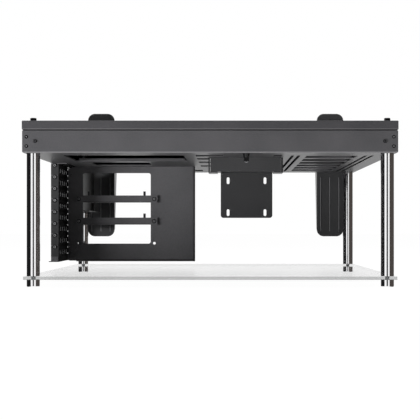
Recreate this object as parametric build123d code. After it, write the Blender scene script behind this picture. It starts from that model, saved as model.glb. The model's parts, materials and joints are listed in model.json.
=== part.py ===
from build123d import *
import os

# An open air test bench: a folded steel deck box on four tube legs, over a clear base plate.
# Millimetres, +Z up, the front of the bench faces -Y.
# Pieces are laid out about the middle of the deck and the floor, and moved together at the end,
# so that the origin is the middle of the bench's footprint on the floor.

# Legs, feet and base plate
LEG_RADIUS = 10.0
LEG_WALL = 2.0
LEG_INSET = 14.5
FOOT_RADIUS = 10.0
FOOT_HEIGHT = 11.0
FOOT_CHAMFER = 0.8
FOOT_BORE_FLOOR = 3.0
PLATE_THICKNESS = 5.0
PLATE_CORNER = 2.0
PLATE_SIDE_MARGIN = 1.0
INSERT_LENGTH = 20.0
THREAD_REACH = 14.0
LEG_SCREW_RADIUS = 3.0
LEG_SCREW_HEAD_RADIUS = 4.75
LEG_SCREW_HEAD_HEIGHT = 5.0
HEAD_CHAMFER = 1.2
SPACER_RADIUS = 8.0
FIT = 0.05
HOLE_CLEARANCE = 0.3

# Deck: a tray whose walls step in near the top, and a shoebox lid over the step
TRAY_WIDTH = 565.0
TRAY_DEPTH = 598.0
TRAY_HEIGHT = 47.7
DECK_SHEET = 1.5
INNER_BEND = 0.5
STEP_IN = 4.5
LID_SHEET = 0.8
LID_LIP = 13.3
LID_OVERHANG = 0.4
LID_BEND = 0.5
REVEAL = 1.8

# Corner angles inside the deck, with their rivets and screws in the front and rear walls
CORNER_ANGLE_LEG = 25.0
CORNER_ANGLE_SHEET = 1.5
CORNER_ANGLE_LIFT = 3.0
RIVET_INSET = 6.5
RIVET_LOW = 10.0
RIVET_PITCH = 14.0
RIVET_RADIUS = 1.5
RIVET_HEAD_RADIUS = 2.0
RIVET_HEAD_HEIGHT = 0.8
RIVET_TAIL_HEIGHT = 1.2
CORNER_SCREW_INSET = 19.5
CORNER_SCREW_RISE = 17.6
CORNER_SCREW_TIP = 2.5

# Small machine screws used all over the bench
SCREW_RADIUS = 2.0
SCREW_HEAD_RADIUS = 3.3
SCREW_HEAD_HEIGHT = 2.2
SCREW_HEAD_CHAMFER = 0.8
NUT_RADIUS = 3.6
NUT_HEIGHT = 3.0

# Openings in the deck floor
FRONT_OPENING_X = (-230.0, -42.5)
FRONT_OPENING_Y = (-238.0, -86.0)
CARD_OPENING_X = (-211.0, -110.0)
CARD_OPENING_Y = (-49.0, 40.0)
REAR_OPENING_X = (-70.0, -24.0)
REAR_OPENING_Y = (195.0, 240.0)
OPENING_LIP = 3.5
LIP_RELIEF = 4.0
FRONT_WINDOW_X = (-24.0, 20.0)
SIDE_WINDOW_X = (-24.0, -4.0)
SIDE_WINDOW_LENGTH = 36.0
FRONT_WINDOW_Y = -229.0
SIDE_WINDOW_Y = (-150.0, -57.0, 57.0)
CORNER_WINDOW_X = (98.0, 111.0)

# Radiator zone: slots for two fan sizes on both sides of a column of windows
RADIATOR_INSET = 92.5
SMALL_FAN_HOLES = 105.0
LARGE_FAN_HOLES = 124.5
FAN_SLOT_WIDTH = 5.0
FAN_SLOT_LENGTH = 480.0
FAN_SLOT_Y = 6.0
WINDOW_WIDTH = 80.0
WINDOW_LENGTH = 58.0
WINDOW_PITCH = 80.0
WINDOW_COUNT = 6
VENTS_PER_WINDOW = 4
VENT_WIDTH = 8.0

# Lid: board standoffs and two cable openings with rubber edging
BOARD_FIRST_X = -245.0
BOARD_FIRST_Y = 160.0
BOARD_COLUMNS = (0.0, 157.48, 281.94)
BOARD_ROWS = (0.0, -154.94, -227.33)
BOARD_CORNER_OFFSET = -22.86
STANDOFF_ACROSS = 5.5
STANDOFF_HEIGHT = 6.5
STANDOFF_THREAD_RADIUS = 1.5
STANDOFF_STUD_RADIUS = 2.0
FRONT_CABLE_CENTRE = (-130.0, -135.0)
SIDE_CABLE_CENTRE = (82.0, 40.0)
CABLE_LENGTH = 130.0
CABLE_WIDTH = 36.0
GROMMET_WALL = 2.0
GROMMET_LIP = 3.0
GROMMET_LIP_HEIGHT = 1.5

# Slot frame for expansion cards, under the left edge of the deck
FRAME_SETBACK = 268.0
FRAME_DEPTH = 109.0
FRAME_END_MARGIN = 9.74
FRAME_CLEARANCE = 13.7
FRAME_SHEET = 1.2
FRAME_FLANGE = 12.5
FRAME_LIP = 16.5
FRAME_TOP_FLANGE = 15.0
FRAME_REAR_FLANGE = 14.0
FRAME_RIVET_MARGIN = 16.0
FRAME_FLANGE_GAP = 2.0
SLOT_COUNT = 8
SLOT_PITCH = 20.32
SLOT_FIRST_SCREW_DROP = 3.7
SLOT_CENTRE_DROP = 7.6
SLOT_OPENING_HEIGHT = 12.5
SLOT_OPENING_MARGIN = 3.0
SLOT_OPENING_END = 5.0
COVER_WIDTH = 18.4
COVER_SHEET = 0.8
COVER_TONGUE_WIDTH = 10.0
COVER_SHOULDER = 11.0
COVER_TONGUE_TIP = 1.5
TONGUE_CLEARANCE = 0.1
TONGUE_SLOT_HEIGHT = 12.8
COVER_RIB_HEIGHT = 7.0
COVER_RIB_LENGTH = 3.0
COVER_RIB_RISE = 1.5
COVER_RIB_PITCH = 23.0
COVER_RIB_COUNT = 4
COVER_RIB_START = 17.0
COVER_RIB_DROP = 9.4
COVER_SCREW_INSET = 6.8
COVER_SCREW_RADIUS = 1.7
COVER_SCREW_TIP = 4.0

# Riser panel behind the cards, and the two channel bars on it
PANEL_GAP = 3.5
PANEL_WIDTH = 231.5
PANEL_CLEARANCE = 11.5
PANEL_SHEET = 1.5
PANEL_FOLD = 12.0
PANEL_INNER_BEND = 3.5
CUTOUT_LEFT = 28.7
CUTOUT_WIDTH = 124.7
CUTOUT_BOTTOM = 32.8
CUTOUT_HEIGHT = 129.8
CUTOUT_CORNER = 4.0
BAR_LENGTH = 150.0
BAR_HEIGHT = 13.0
BAR_DEPTH = 6.0
BAR_SHEET = 1.5
BAR_GROOVE_LENGTH = 127.0
BAR_GROOVE_HEIGHT = 1.6
BAR_GROOVE_DEPTH = 3.0
BAR_HOLE_SPACING = 138.2
BAR_HOLE_RADIUS = 2.5
BAR_HOLE_DROP = 141.0
BAR_SPACER_RADIUS = 4.0
POST_SPACING = 102.4
POST_RADIUS = 2.2
POST_HEIGHT = 7.5
POST_SPIGOT_RADIUS = 1.5
POST_SWAGE_HEIGHT = 0.8

# Power supply brackets, under the deck behind the riser panel
SUPPLY_WIDTH = 152.0
SUPPLY_LEFT = 37.5
SUPPLY_FRONT = 409.0
SUPPLY_LENGTH = 162.0
SUPPLY_HEIGHT = 82.0
SUPPLY_SHEET = 1.5
SUPPLY_FLANGE = 14.0
SUPPLY_LIP = 12.0
SUPPLY_SCREW_MARGIN = 20.0

# Drive tray under the front of the deck, its side rails, and the pump bracket below it
DRIVE_X = 55.0
DRIVE_SETBACK = 115.0
DRIVE_WIDTH = 112.5
DRIVE_HEIGHT = 22.6
DRIVE_DEPTH = 45.0
DRIVE_SHEET = 1.5
RAIL_SHEET = 1.5
RAIL_GAP = 2.2
RAIL_FLANGE = 12.0
RAIL_LEDGE = 11.0
RAIL_SETBACK = 2.0
PUMP_SETBACK = 24.0
PUMP_OFFSET = 1.6
PUMP_WIDTH = 84.0
PUMP_HEIGHT = 74.0
PUMP_SHEET = 1.5
PUMP_LEG = 19.0
PUMP_CORNER = 4.5
PUMP_SLOT_WIDTH = 4.5
PUMP_SLOT_LENGTH = 11.0
PUMP_SLOT_SPACING_X = 60.0
PUMP_SLOT_SPACING_Z = 52.0
PUMP_SLOT_DROP = 13.4
PUMP_SCREW_SPACING = 40.0

# Knob under the front edge of the deck
KNOB_X = 54.5
KNOB_SETBACK = 18.0
KNOB_TOP_RADIUS = 5.5
KNOB_BOTTOM_RADIUS = 4.0
KNOB_HEIGHT = 6.0
KNOB_STUD_RADIUS = 2.0
DOME_BULGE = 0.9

# Radiator brackets on the rear wall of the deck
REAR_BRACKET_INSET = 49.0
REAR_BRACKET_WIDTH = 54.0
REAR_BRACKET_LENGTH = 250.0
REAR_BRACKET_DROP = 130.0
REAR_BRACKET_CORNER = 14.0
REAR_BRACKET_SHEET = 2.0
REAR_FLANGE_DEPTH = 41.0
REAR_FLANGE_END = 8.0
REAR_RIB_PITCH = 18.6
REAR_RIB_RADIUS = 1.2
REAR_RIB_MARGIN = 10.0
REAR_SCREW_LOW = 10.0
REAR_SCREW_PITCH = 16.0
WASHER_RADIUS = 6.0
WASHER_THICKNESS = 1.0

# Levels and faces that follow from the sizes above
PLATE_BOTTOM = FOOT_HEIGHT
PLATE_TOP = PLATE_BOTTOM + PLATE_THICKNESS
FRAME_HEIGHT = SLOT_COUNT * SLOT_PITCH + FRAME_END_MARGIN
LEG_LENGTH = FRAME_HEIGHT + FRAME_CLEARANCE
PANEL_HEIGHT = LEG_LENGTH - PANEL_CLEARANCE
DECK_BOTTOM = PLATE_TOP + LEG_LENGTH
FLOOR_TOP = DECK_BOTTOM + DECK_SHEET
LID_UNDERSIDE = DECK_BOTTOM + TRAY_HEIGHT
LID_TOP = LID_UNDERSIDE + LID_SHEET
TRAY_RIGHT = TRAY_WIDTH / 2
TRAY_REAR = TRAY_DEPTH / 2
RADIATOR_X = TRAY_RIGHT - RADIATOR_INSET
REAR_BRACKET_X = TRAY_RIGHT - REAR_BRACKET_INSET
LID_RIGHT = TRAY_RIGHT + LID_OVERHANG
LID_REAR = TRAY_REAR + LID_OVERHANG
STEP_LEVEL = LID_TOP - LID_LIP - REVEAL
CORNERS = [(side, end) for end in (-1, 1) for side in (-1, 1)]
LEGS = [(s * (TRAY_RIGHT - LEG_INSET), e * (TRAY_REAR - LEG_INSET)) for s, e in CORNERS]
LEG_NAMES = ["front_left", "front_right", "rear_left", "rear_right"]
LEG_HOLE = LEG_SCREW_RADIUS + HOLE_CLEARANCE
SCREW_HOLE = SCREW_RADIUS + FIT
FRAME_FRONT = -TRAY_REAR + FRAME_SETBACK
FRAME_LEFT = -TRAY_RIGHT
FRAME_INSIDE = FRAME_LEFT + FRAME_FLANGE
FRAME_BOTTOM = DECK_BOTTOM - FRAME_HEIGHT
PANEL_FRONT = FRAME_FRONT + FRAME_DEPTH
PANEL_BACK = PANEL_FRONT + PANEL_SHEET
PANEL_LEFT = FRAME_INSIDE + PANEL_GAP
PANEL_BOTTOM = DECK_BOTTOM - PANEL_HEIGHT
CUTOUT_X = FRAME_INSIDE + CUTOUT_LEFT + CUTOUT_WIDTH / 2
CUTOUT_Z = PANEL_BOTTOM + CUTOUT_BOTTOM + CUTOUT_HEIGHT / 2
BAR_PITCH = 2 * SLOT_PITCH
BAR_FRONT = PANEL_FRONT - BAR_DEPTH
FREE_HOLE_Z = DECK_BOTTOM - BAR_HOLE_DROP
BAR_LEVELS = [FREE_HOLE_Z + BAR_PITCH, FREE_HOLE_Z + 2 * BAR_PITCH]
BAR_HOLES = [CUTOUT_X + s * BAR_HOLE_SPACING / 2 for s in (-1, 1)]
SUPPLY_Y = (-TRAY_REAR + SUPPLY_FRONT, -TRAY_REAR + SUPPLY_FRONT + SUPPLY_LENGTH)
SUPPLY_SIDES = {"left": -TRAY_RIGHT + SUPPLY_LEFT, "right": -TRAY_RIGHT + SUPPLY_LEFT + SUPPLY_WIDTH}
DRIVE_FRONT = -TRAY_REAR + DRIVE_SETBACK
DRIVE_BOTTOM = DECK_BOTTOM - DRIVE_HEIGHT
PUMP_FRONT = DRIVE_FRONT + PUMP_SETBACK
PUMP_TOP = DRIVE_BOTTOM
PUMP_X = DRIVE_X + PUMP_OFFSET
KNOB_Y = -TRAY_REAR + KNOB_SETBACK
REAR_BRACKET_BOTTOM = DECK_BOTTOM - REAR_BRACKET_DROP
REAR_BRACKET_MIDDLE = REAR_BRACKET_BOTTOM + REAR_BRACKET_LENGTH / 2
REAR_BRACKET_FRONT = TRAY_REAR + WASHER_THICKNESS
REAR_BRACKET_BACK = REAR_BRACKET_FRONT + REAR_BRACKET_SHEET
REAR_SCREW_LEVELS = [DECK_BOTTOM + REAR_SCREW_LOW, DECK_BOTTOM + REAR_SCREW_LOW + REAR_SCREW_PITCH]
WINDOWS = [(i - (WINDOW_COUNT - 1) / 2) * WINDOW_PITCH for i in range(WINDOW_COUNT)]


def block(x_range, y_range, z_range):
    """A box between two limits on each axis."""
    limits = (x_range, y_range, z_range)
    middle = [(low + high) / 2 for low, high in limits]
    size = [high - low for low, high in limits]
    return Pos(*middle) * Box(*size)


def rod_z(x, y, z_range, radius):
    """A round bar that stands upright."""
    low, high = z_range
    return Pos(x, y, (low + high) / 2) * Cylinder(radius, high - low)


def rod_y(x, z, y_range, radius):
    """A round bar that runs from front to rear."""
    low, high = y_range
    return Pos(x, (low + high) / 2, z) * Rot(90, 0, 0) * Cylinder(radius, high - low)


def flat(outline, x, y, z_range):
    """An outline laid flat and raised between two levels."""
    low, high = z_range
    return extrude(Pos(x, y, low) * outline, amount=high - low)


def upright(outline, x, z, y_range):
    """An outline stood up facing the front, thick between two depths."""
    low, high = y_range
    return extrude(Plane.XZ.offset(-high) * Pos(x, z) * outline, amount=high - low)


def outline_x(points, x_range):
    """A side view drawn as (y, z) points, thick between two places across the bench."""
    low, high = x_range
    face = make_face(Polyline(*[(low, y, z) for y, z in points], close=True))
    return extrude(face, amount=high - low, dir=(1, 0, 0))


def around(centre, spacing):
    """Two places, half a spacing to each side of a centre."""
    return centre - spacing / 2, centre + spacing / 2


def group(solids):
    """Like pieces kept together as one set of separate solids."""
    return Compound(children=list(solids))


def screw(reach):
    """A machine screw that points down, its head on the level zero, its tip below."""
    head = Pos(0, 0, SCREW_HEAD_HEIGHT / 2) * Cylinder(SCREW_HEAD_RADIUS, SCREW_HEAD_HEIGHT)
    head = chamfer(head.edges().sort_by(Axis.Z)[-1], SCREW_HEAD_CHAMFER)
    return head + rod_z(0, 0, (-reach, 0), SCREW_RADIUS)


def folded_box(half_size, z_range, opening, sheet, bend):
    """A sheet box with rounded folds, open at the top (1) or the bottom (-1)."""
    half_width, half_depth = half_size
    low, high = z_range
    outer = block((-half_width, half_width), (-half_depth, half_depth), z_range)
    closed = outer.faces().sort_by(Axis.Z)[0 if opening > 0 else -1]
    outer = fillet(closed.edges(), bend + sheet)
    inside_x = (sheet - half_width, half_width - sheet)
    inside_y = (sheet - half_depth, half_depth - sheet)
    inner = block(inside_x, inside_y, (low + opening * sheet, high + opening * sheet))
    closed = inner.faces().sort_by(Axis.Z)[0 if opening > 0 else -1]
    return outer - fillet(closed.edges(), bend)


def hoop(half_size, z_range, wall):
    """A four-sided ring of a wall thickness, between two levels."""
    half_width, half_depth = half_size
    outer = block((-half_width, half_width), (-half_depth, half_depth), z_range)
    inside_x = (wall - half_width, half_width - wall)
    inside_y = (wall - half_depth, half_depth - wall)
    return outer - block(inside_x, inside_y, z_range)


def lip(x_range, edge):
    """The rear edge of a floor opening, turned up into the deck."""
    span = (x_range[0] + LIP_RELIEF, x_range[1] - LIP_RELIEF)
    return block(span, (edge, edge + DECK_SHEET), (DECK_BOTTOM, FLOOR_TOP + OPENING_LIP))


def window_x():
    """Left and right edges of the radiator windows."""
    return around(RADIATOR_X, WINDOW_WIDTH)


def floor_cuts():
    """Every opening that is punched in the deck floor."""
    through = (DECK_BOTTOM - DECK_SHEET, FLOOR_TOP + DECK_SHEET)
    cuts = [block(FRONT_OPENING_X, FRONT_OPENING_Y, through)]
    cuts.append(block(CARD_OPENING_X, CARD_OPENING_Y, through))
    cuts.append(block(REAR_OPENING_X, REAR_OPENING_Y, through))
    cuts.append(block(FRONT_WINDOW_X, around(FRONT_WINDOW_Y, SIDE_WINDOW_LENGTH), through))
    cuts.append(block(CORNER_WINDOW_X, around(FRONT_WINDOW_Y, SIDE_WINDOW_LENGTH), through))
    for y in SIDE_WINDOW_Y:
        cuts.append(block(SIDE_WINDOW_X, around(y, SIDE_WINDOW_LENGTH), through))
    for y in WINDOWS:
        cuts.append(block(window_x(), around(y, WINDOW_LENGTH), through))
    for spacing in (SMALL_FAN_HOLES, LARGE_FAN_HOLES):
        for x in around(RADIATOR_X, spacing):
            slot = Rot(0, 0, 90) * SlotOverall(FAN_SLOT_LENGTH, FAN_SLOT_WIDTH)
            cuts.append(flat(slot, x, FAN_SLOT_Y, through))
    cuts += [rod_z(x, y, through, LEG_HOLE) for x, y in LEGS]
    cuts += [rod_z(x, y, through, SCREW_HOLE) for x, y in hanging_screws()]
    cuts.append(rod_z(KNOB_X, KNOB_Y, through, KNOB_STUD_RADIUS + FIT))
    return cuts


def wall_cuts():
    """Holes in the front and rear walls of the deck tray."""
    cuts = []
    for side, end in CORNERS:
        wall = sorted((end * (TRAY_REAR + DECK_SHEET), end * (TRAY_REAR - 2 * DECK_SHEET)))
        for z in rivet_levels():
            cuts.append(rod_y(side * (TRAY_RIGHT - RIVET_INSET), z, wall, RIVET_RADIUS + FIT))
        if end < 0:
            x = side * (TRAY_RIGHT - CORNER_SCREW_INSET)
            cuts.append(rod_y(x, corner_screw_level(), wall, SCREW_HOLE))
    for x, z in rear_screws():
        cuts.append(rod_y(x, z, (TRAY_REAR - 2 * DECK_SHEET, TRAY_REAR + DECK_SHEET), SCREW_HOLE))
    return cuts


def rivet_levels():
    """Heights of the two rivets at a corner."""
    low = DECK_BOTTOM + RIVET_LOW
    return low, low + RIVET_PITCH


def corner_screw_level():
    """Height of the screw at a corner."""
    return DECK_BOTTOM + CORNER_SCREW_RISE


def rear_screws():
    """Places of the screws that hold the radiator brackets to the rear wall."""
    return [(side * REAR_BRACKET_X, z) for side in (-1, 1) for z in REAR_SCREW_LEVELS]


def hanging_screws():
    """Places of the screws that hang the lower pieces from the deck floor."""
    places = [(x, y) for x in frame_screw_x() for y in frame_screw_y()]
    places += [(x, panel_screw_y()) for x in panel_screw_x()]
    places += [(x, y) for x in supply_screw_x() for y in supply_screw_y()]
    places += [(x, rail_screw_y()) for x in rail_screw_x()]
    return places


def frame_screw_x():
    """Middle of the slot frame's top flange."""
    return [FRAME_INSIDE + FRAME_TOP_FLANGE / 2]


def frame_screw_y():
    """Screws near both ends of the slot frame's top flange."""
    margin = FRAME_TOP_FLANGE
    return [FRAME_FRONT + margin, PANEL_FRONT - margin]


def panel_screw_x():
    """Screws near both ends of the riser panel's top fold."""
    margin = 2 * PANEL_FOLD
    return [PANEL_LEFT + margin, PANEL_LEFT + PANEL_WIDTH - margin]


def panel_screw_y():
    """Middle of the riser panel's top fold."""
    return PANEL_BACK + (PANEL_FOLD - PANEL_SHEET) / 2


def supply_screw_x():
    """Middle of each power supply bracket's top flange."""
    reach = SUPPLY_SHEET + SUPPLY_FLANGE / 2
    return [SUPPLY_SIDES["left"] - reach, SUPPLY_SIDES["right"] + reach]


def supply_screw_y():
    """Screws near both ends of a power supply bracket."""
    return [SUPPLY_Y[0] + SUPPLY_SCREW_MARGIN, SUPPLY_Y[1] - SUPPLY_SCREW_MARGIN]


def rail_screw_x():
    """Middle of each drive rail's top flange."""
    reach = (DRIVE_WIDTH - RAIL_FLANGE) / 2
    return [DRIVE_X - reach, DRIVE_X + reach]


def rail_screw_y():
    """Middle of the drive rails from front to rear."""
    return DRIVE_FRONT + DRIVE_DEPTH / 2


def deck_tray():
    """Folded steel tray that is the lower half of the deck."""
    tray = folded_box((TRAY_RIGHT, TRAY_REAR), (DECK_BOTTOM, STEP_LEVEL), 1, DECK_SHEET, INNER_BEND)
    step = (STEP_LEVEL - DECK_SHEET, STEP_LEVEL)
    tray += hoop((TRAY_RIGHT, TRAY_REAR), step, STEP_IN + DECK_SHEET)
    tray += hoop((TRAY_RIGHT - STEP_IN, TRAY_REAR - STEP_IN), (step[0], LID_UNDERSIDE), DECK_SHEET)
    tray = tray - floor_cuts() - wall_cuts()
    lips = [lip(window_x(), y + WINDOW_LENGTH / 2) for y in WINDOWS]
    lips.append(lip(FRONT_OPENING_X, FRONT_OPENING_Y[1]))
    return tray + lips


def lid_vents():
    """Slots in the lid above the radiator windows."""
    spacing = WINDOW_LENGTH / VENTS_PER_WINDOW
    offsets = [(i - (VENTS_PER_WINDOW - 1) / 2) * spacing for i in range(VENTS_PER_WINDOW)]
    return [(RADIATOR_X, y + offset) for y in WINDOWS for offset in offsets]


def cable_openings():
    """Centre and turn of each cable opening in the lid."""
    return [(FRONT_CABLE_CENTRE, 0), (SIDE_CABLE_CENTRE, 90)]


def standoff_places():
    """Board screw places; the one beside the board's rear connectors stands further forward."""
    places = []
    for column, across in enumerate(BOARD_COLUMNS):
        for row, back in enumerate(BOARD_ROWS):
            shift = BOARD_CORNER_OFFSET if (column, row) == (0, 0) else 0.0
            places.append((BOARD_FIRST_X + across, BOARD_FIRST_Y + back + shift))
    return places


def deck_lid():
    """Folded steel lid that drops over the tray's walls."""
    levels = (LID_TOP - LID_LIP, LID_TOP)
    lid = folded_box((LID_RIGHT, LID_REAR), levels, -1, LID_SHEET, LID_BEND)
    through = (LID_UNDERSIDE - LID_SHEET, LID_TOP + LID_SHEET)
    cuts = [flat(SlotOverall(WINDOW_WIDTH, VENT_WIDTH), x, y, through) for x, y in lid_vents()]
    for centre, turn in cable_openings():
        cuts.append(flat(Rot(0, 0, turn) * SlotOverall(CABLE_LENGTH, CABLE_WIDTH), *centre, through))
    cuts += [rod_z(x, y, through, LEG_HOLE) for x, y in LEGS]
    cuts += [rod_z(x, y, through, STANDOFF_STUD_RADIUS + FIT) for x, y in standoff_places()]
    return lid - cuts


def lid_grommet(centre, turn):
    """Rubber edging that grips the rim of one cable opening."""
    neck = SlotOverall(CABLE_LENGTH - FIT, CABLE_WIDTH - FIT)
    rim = SlotOverall(CABLE_LENGTH + 2 * GROMMET_LIP, CABLE_WIDTH + 2 * GROMMET_LIP)
    bore = SlotOverall(CABLE_LENGTH - 2 * GROMMET_WALL, CABLE_WIDTH - 2 * GROMMET_WALL)
    above = (LID_TOP, LID_TOP + GROMMET_LIP_HEIGHT)
    below = (LID_UNDERSIDE - GROMMET_LIP_HEIGHT, LID_UNDERSIDE)
    turned = Rot(0, 0, turn)
    ring = flat(turned * rim, *centre, above) + flat(turned * rim, *centre, below)
    ring += flat(turned * neck, *centre, (below[1], above[0]))
    return ring - flat(turned * bore, *centre, (below[0], above[1]))


def standoff(x, y):
    """Hexagon post with a thread for a board screw, its stud riveted in the lid."""
    body = RegularPolygon(STANDOFF_ACROSS / 2, 6, major_radius=False)
    post = flat(body, x, y, (LID_TOP, LID_TOP + STANDOFF_HEIGHT))
    post += rod_z(x, y, (LID_UNDERSIDE, LID_TOP), STANDOFF_STUD_RADIUS)
    return post - rod_z(x, y, (LID_UNDERSIDE, LID_TOP + STANDOFF_HEIGHT), STANDOFF_THREAD_RADIUS)


def corner_angle(side, end):
    """Steel angle inside one corner of the deck."""
    inside_x = TRAY_RIGHT - DECK_SHEET
    inside_y = TRAY_REAR - DECK_SHEET
    levels = (FLOOR_TOP + CORNER_ANGLE_LIFT, STEP_LEVEL - DECK_SHEET - CORNER_ANGLE_LIFT)
    angle = block((inside_x - CORNER_ANGLE_LEG, inside_x), (inside_y - CORNER_ANGLE_SHEET, inside_y), levels)
    side_wall = (inside_x - CORNER_ANGLE_SHEET, inside_x)
    angle += block(side_wall, (inside_y - CORNER_ANGLE_LEG, inside_y), levels)
    through = (inside_y - 2 * CORNER_ANGLE_SHEET, inside_y)
    for z in rivet_levels():
        angle -= rod_y(TRAY_RIGHT - RIVET_INSET, z, through, RIVET_RADIUS + FIT)
    if end < 0:
        angle -= rod_y(TRAY_RIGHT - CORNER_SCREW_INSET, corner_screw_level(), through, SCREW_HOLE)
    return at_corner(angle, side, end)


def at_corner(piece, side, end):
    """A piece drawn at the rear right corner, mirrored to another corner."""
    if side < 0:
        piece = mirror(piece, Plane.YZ)
    if end < 0:
        piece = mirror(piece, Plane.XZ)
    return piece


def rivet(level):
    """Rivet at the rear right corner: a low head outside, a set tail inside."""
    x = TRAY_RIGHT - RIVET_INSET
    inside = TRAY_REAR - DECK_SHEET - CORNER_ANGLE_SHEET
    body = rod_y(x, level, (inside, TRAY_REAR), RIVET_RADIUS)
    body += rod_y(x, level, (TRAY_REAR, TRAY_REAR + RIVET_HEAD_HEIGHT), RIVET_HEAD_RADIUS)
    return body + rod_y(x, level, (inside - RIVET_TAIL_HEIGHT, inside), RIVET_HEAD_RADIUS)


def corner_screw():
    """Button screw at the rear right corner, through the wall into the angle behind it."""
    reach = DECK_SHEET + CORNER_ANGLE_SHEET + CORNER_SCREW_TIP
    place = Pos(TRAY_RIGHT - CORNER_SCREW_INSET, TRAY_REAR, corner_screw_level())
    return place * Rot(-90, 0, 0) * screw(reach)


def leg(x, y):
    """Chromed tube that carries the deck."""
    levels = (PLATE_TOP, DECK_BOTTOM)
    return rod_z(x, y, levels, LEG_RADIUS) - rod_z(x, y, levels, LEG_RADIUS - LEG_WALL)


def leg_insert(x, y, low):
    """Threaded plug that closes one end of a leg."""
    levels = (low, low + INSERT_LENGTH)
    plug = rod_z(x, y, levels, LEG_RADIUS - LEG_WALL - FIT)
    return plug - rod_z(x, y, levels, LEG_SCREW_RADIUS + FIT)


def foot(x, y):
    """Chromed round foot under the base plate."""
    body = rod_z(x, y, (0, FOOT_HEIGHT), FOOT_RADIUS)
    body = chamfer(body.edges().filter_by(GeomType.CIRCLE).sort_by(Axis.Z)[0], FOOT_CHAMFER)
    return body - rod_z(x, y, (FOOT_BORE_FLOOR, FOOT_HEIGHT), LEG_SCREW_RADIUS + FIT)


def base_plate():
    """Clear plate that the feet and legs clamp between them."""
    width = TRAY_WIDTH - 2 * PLATE_SIDE_MARGIN
    plate = flat(RectangleRounded(width, TRAY_DEPTH, PLATE_CORNER), 0, 0, (PLATE_BOTTOM, PLATE_TOP))
    return plate - [rod_z(x, y, (PLATE_BOTTOM, PLATE_TOP), LEG_HOLE) for x, y in LEGS]


def leg_screw(x, y):
    """Button screw through the lid and the spacer into the top of a leg."""
    head = rod_z(x, y, (LID_TOP, LID_TOP + LEG_SCREW_HEAD_HEIGHT), LEG_SCREW_HEAD_RADIUS)
    head = chamfer(head.edges().sort_by(Axis.Z)[-1], HEAD_CHAMFER)
    return head + rod_z(x, y, (DECK_BOTTOM - THREAD_REACH, LID_TOP), LEG_SCREW_RADIUS)


def deck_spacer(x, y):
    """Tube inside the deck that takes the clamping force of a leg screw."""
    levels = (FLOOR_TOP, LID_UNDERSIDE)
    return rod_z(x, y, levels, SPACER_RADIUS) - rod_z(x, y, levels, LEG_HOLE)


def slot_screw_levels():
    """Heights of the card screws, from the top slot down."""
    first = DECK_BOTTOM - SLOT_FIRST_SCREW_DROP
    return [first - i * SLOT_PITCH for i in range(SLOT_COUNT)]


def cover_screw_x():
    """Middle of the card screws on the front flange."""
    return FRAME_LEFT + COVER_SCREW_INSET


def slot_frame():
    """Folded steel frame that carries the card slots."""
    wall_x = (FRAME_INSIDE - FRAME_SHEET, FRAME_INSIDE)
    rear = PANEL_BACK + FRAME_SHEET
    levels = (FRAME_BOTTOM, DECK_BOTTOM)
    frame = block(wall_x, (FRAME_FRONT, rear), levels)
    front_flange = (FRAME_FRONT, FRAME_FRONT + FRAME_SHEET)
    frame += block((FRAME_LEFT, FRAME_INSIDE), front_flange, levels)
    frame += block((FRAME_INSIDE - FRAME_LIP, FRAME_INSIDE), (FRAME_FRONT, rear),
                   (FRAME_BOTTOM, FRAME_BOTTOM + FRAME_SHEET))
    frame += block((wall_x[0], FRAME_INSIDE + FRAME_TOP_FLANGE),
                   (FRAME_FRONT, PANEL_FRONT - FRAME_FLANGE_GAP),
                   (DECK_BOTTOM - FRAME_SHEET, DECK_BOTTOM))
    frame += block((wall_x[0], FRAME_INSIDE + FRAME_REAR_FLANGE), (PANEL_BACK, rear),
                   (FRAME_BOTTOM, DECK_BOTTOM - FRAME_FLANGE_GAP - PANEL_SHEET))
    through = (FRAME_INSIDE - 2 * FRAME_SHEET, FRAME_INSIDE + FRAME_SHEET)
    depth = (FRAME_FRONT + SLOT_OPENING_MARGIN, PANEL_FRONT - SLOT_OPENING_END)
    tongue = (FRAME_INSIDE, FRAME_INSIDE + COVER_SHEET + TONGUE_CLEARANCE)
    for level in slot_screw_levels():
        middle = level - SLOT_CENTRE_DROP
        frame -= block(through, depth, around(middle, SLOT_OPENING_HEIGHT))
        frame -= block(tongue, (PANEL_BACK, rear), around(middle, TONGUE_SLOT_HEIGHT))
        frame -= rod_y(cover_screw_x(), level, front_flange, COVER_SCREW_RADIUS + FIT)
    for x in frame_screw_x():
        for y in frame_screw_y():
            frame -= rod_z(x, y, (DECK_BOTTOM - FRAME_SHEET, DECK_BOTTOM), SCREW_HOLE)
    for z in frame_rivet_levels():
        frame -= rod_y(frame_rivet_x(), z, (PANEL_BACK, rear), RIVET_RADIUS + FIT)
    return frame


def frame_rivet_x():
    """Middle of the slot frame's rear flange."""
    return FRAME_INSIDE + FRAME_REAR_FLANGE / 2


def frame_rivet_levels():
    """Heights of the rivets that join the slot frame to the riser panel."""
    return FRAME_BOTTOM + FRAME_RIVET_MARGIN, DECK_BOTTOM - FRAME_RIVET_MARGIN


def frame_rivet(level):
    """Rivet flush with the front of the riser panel, its tail behind the slot frame's flange."""
    x = frame_rivet_x()
    rear = PANEL_BACK + FRAME_SHEET
    body = rod_y(x, level, (PANEL_FRONT, rear), RIVET_RADIUS)
    return body + rod_y(x, level, (rear, rear + RIVET_TAIL_HEIGHT), RIVET_HEAD_RADIUS)


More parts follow.
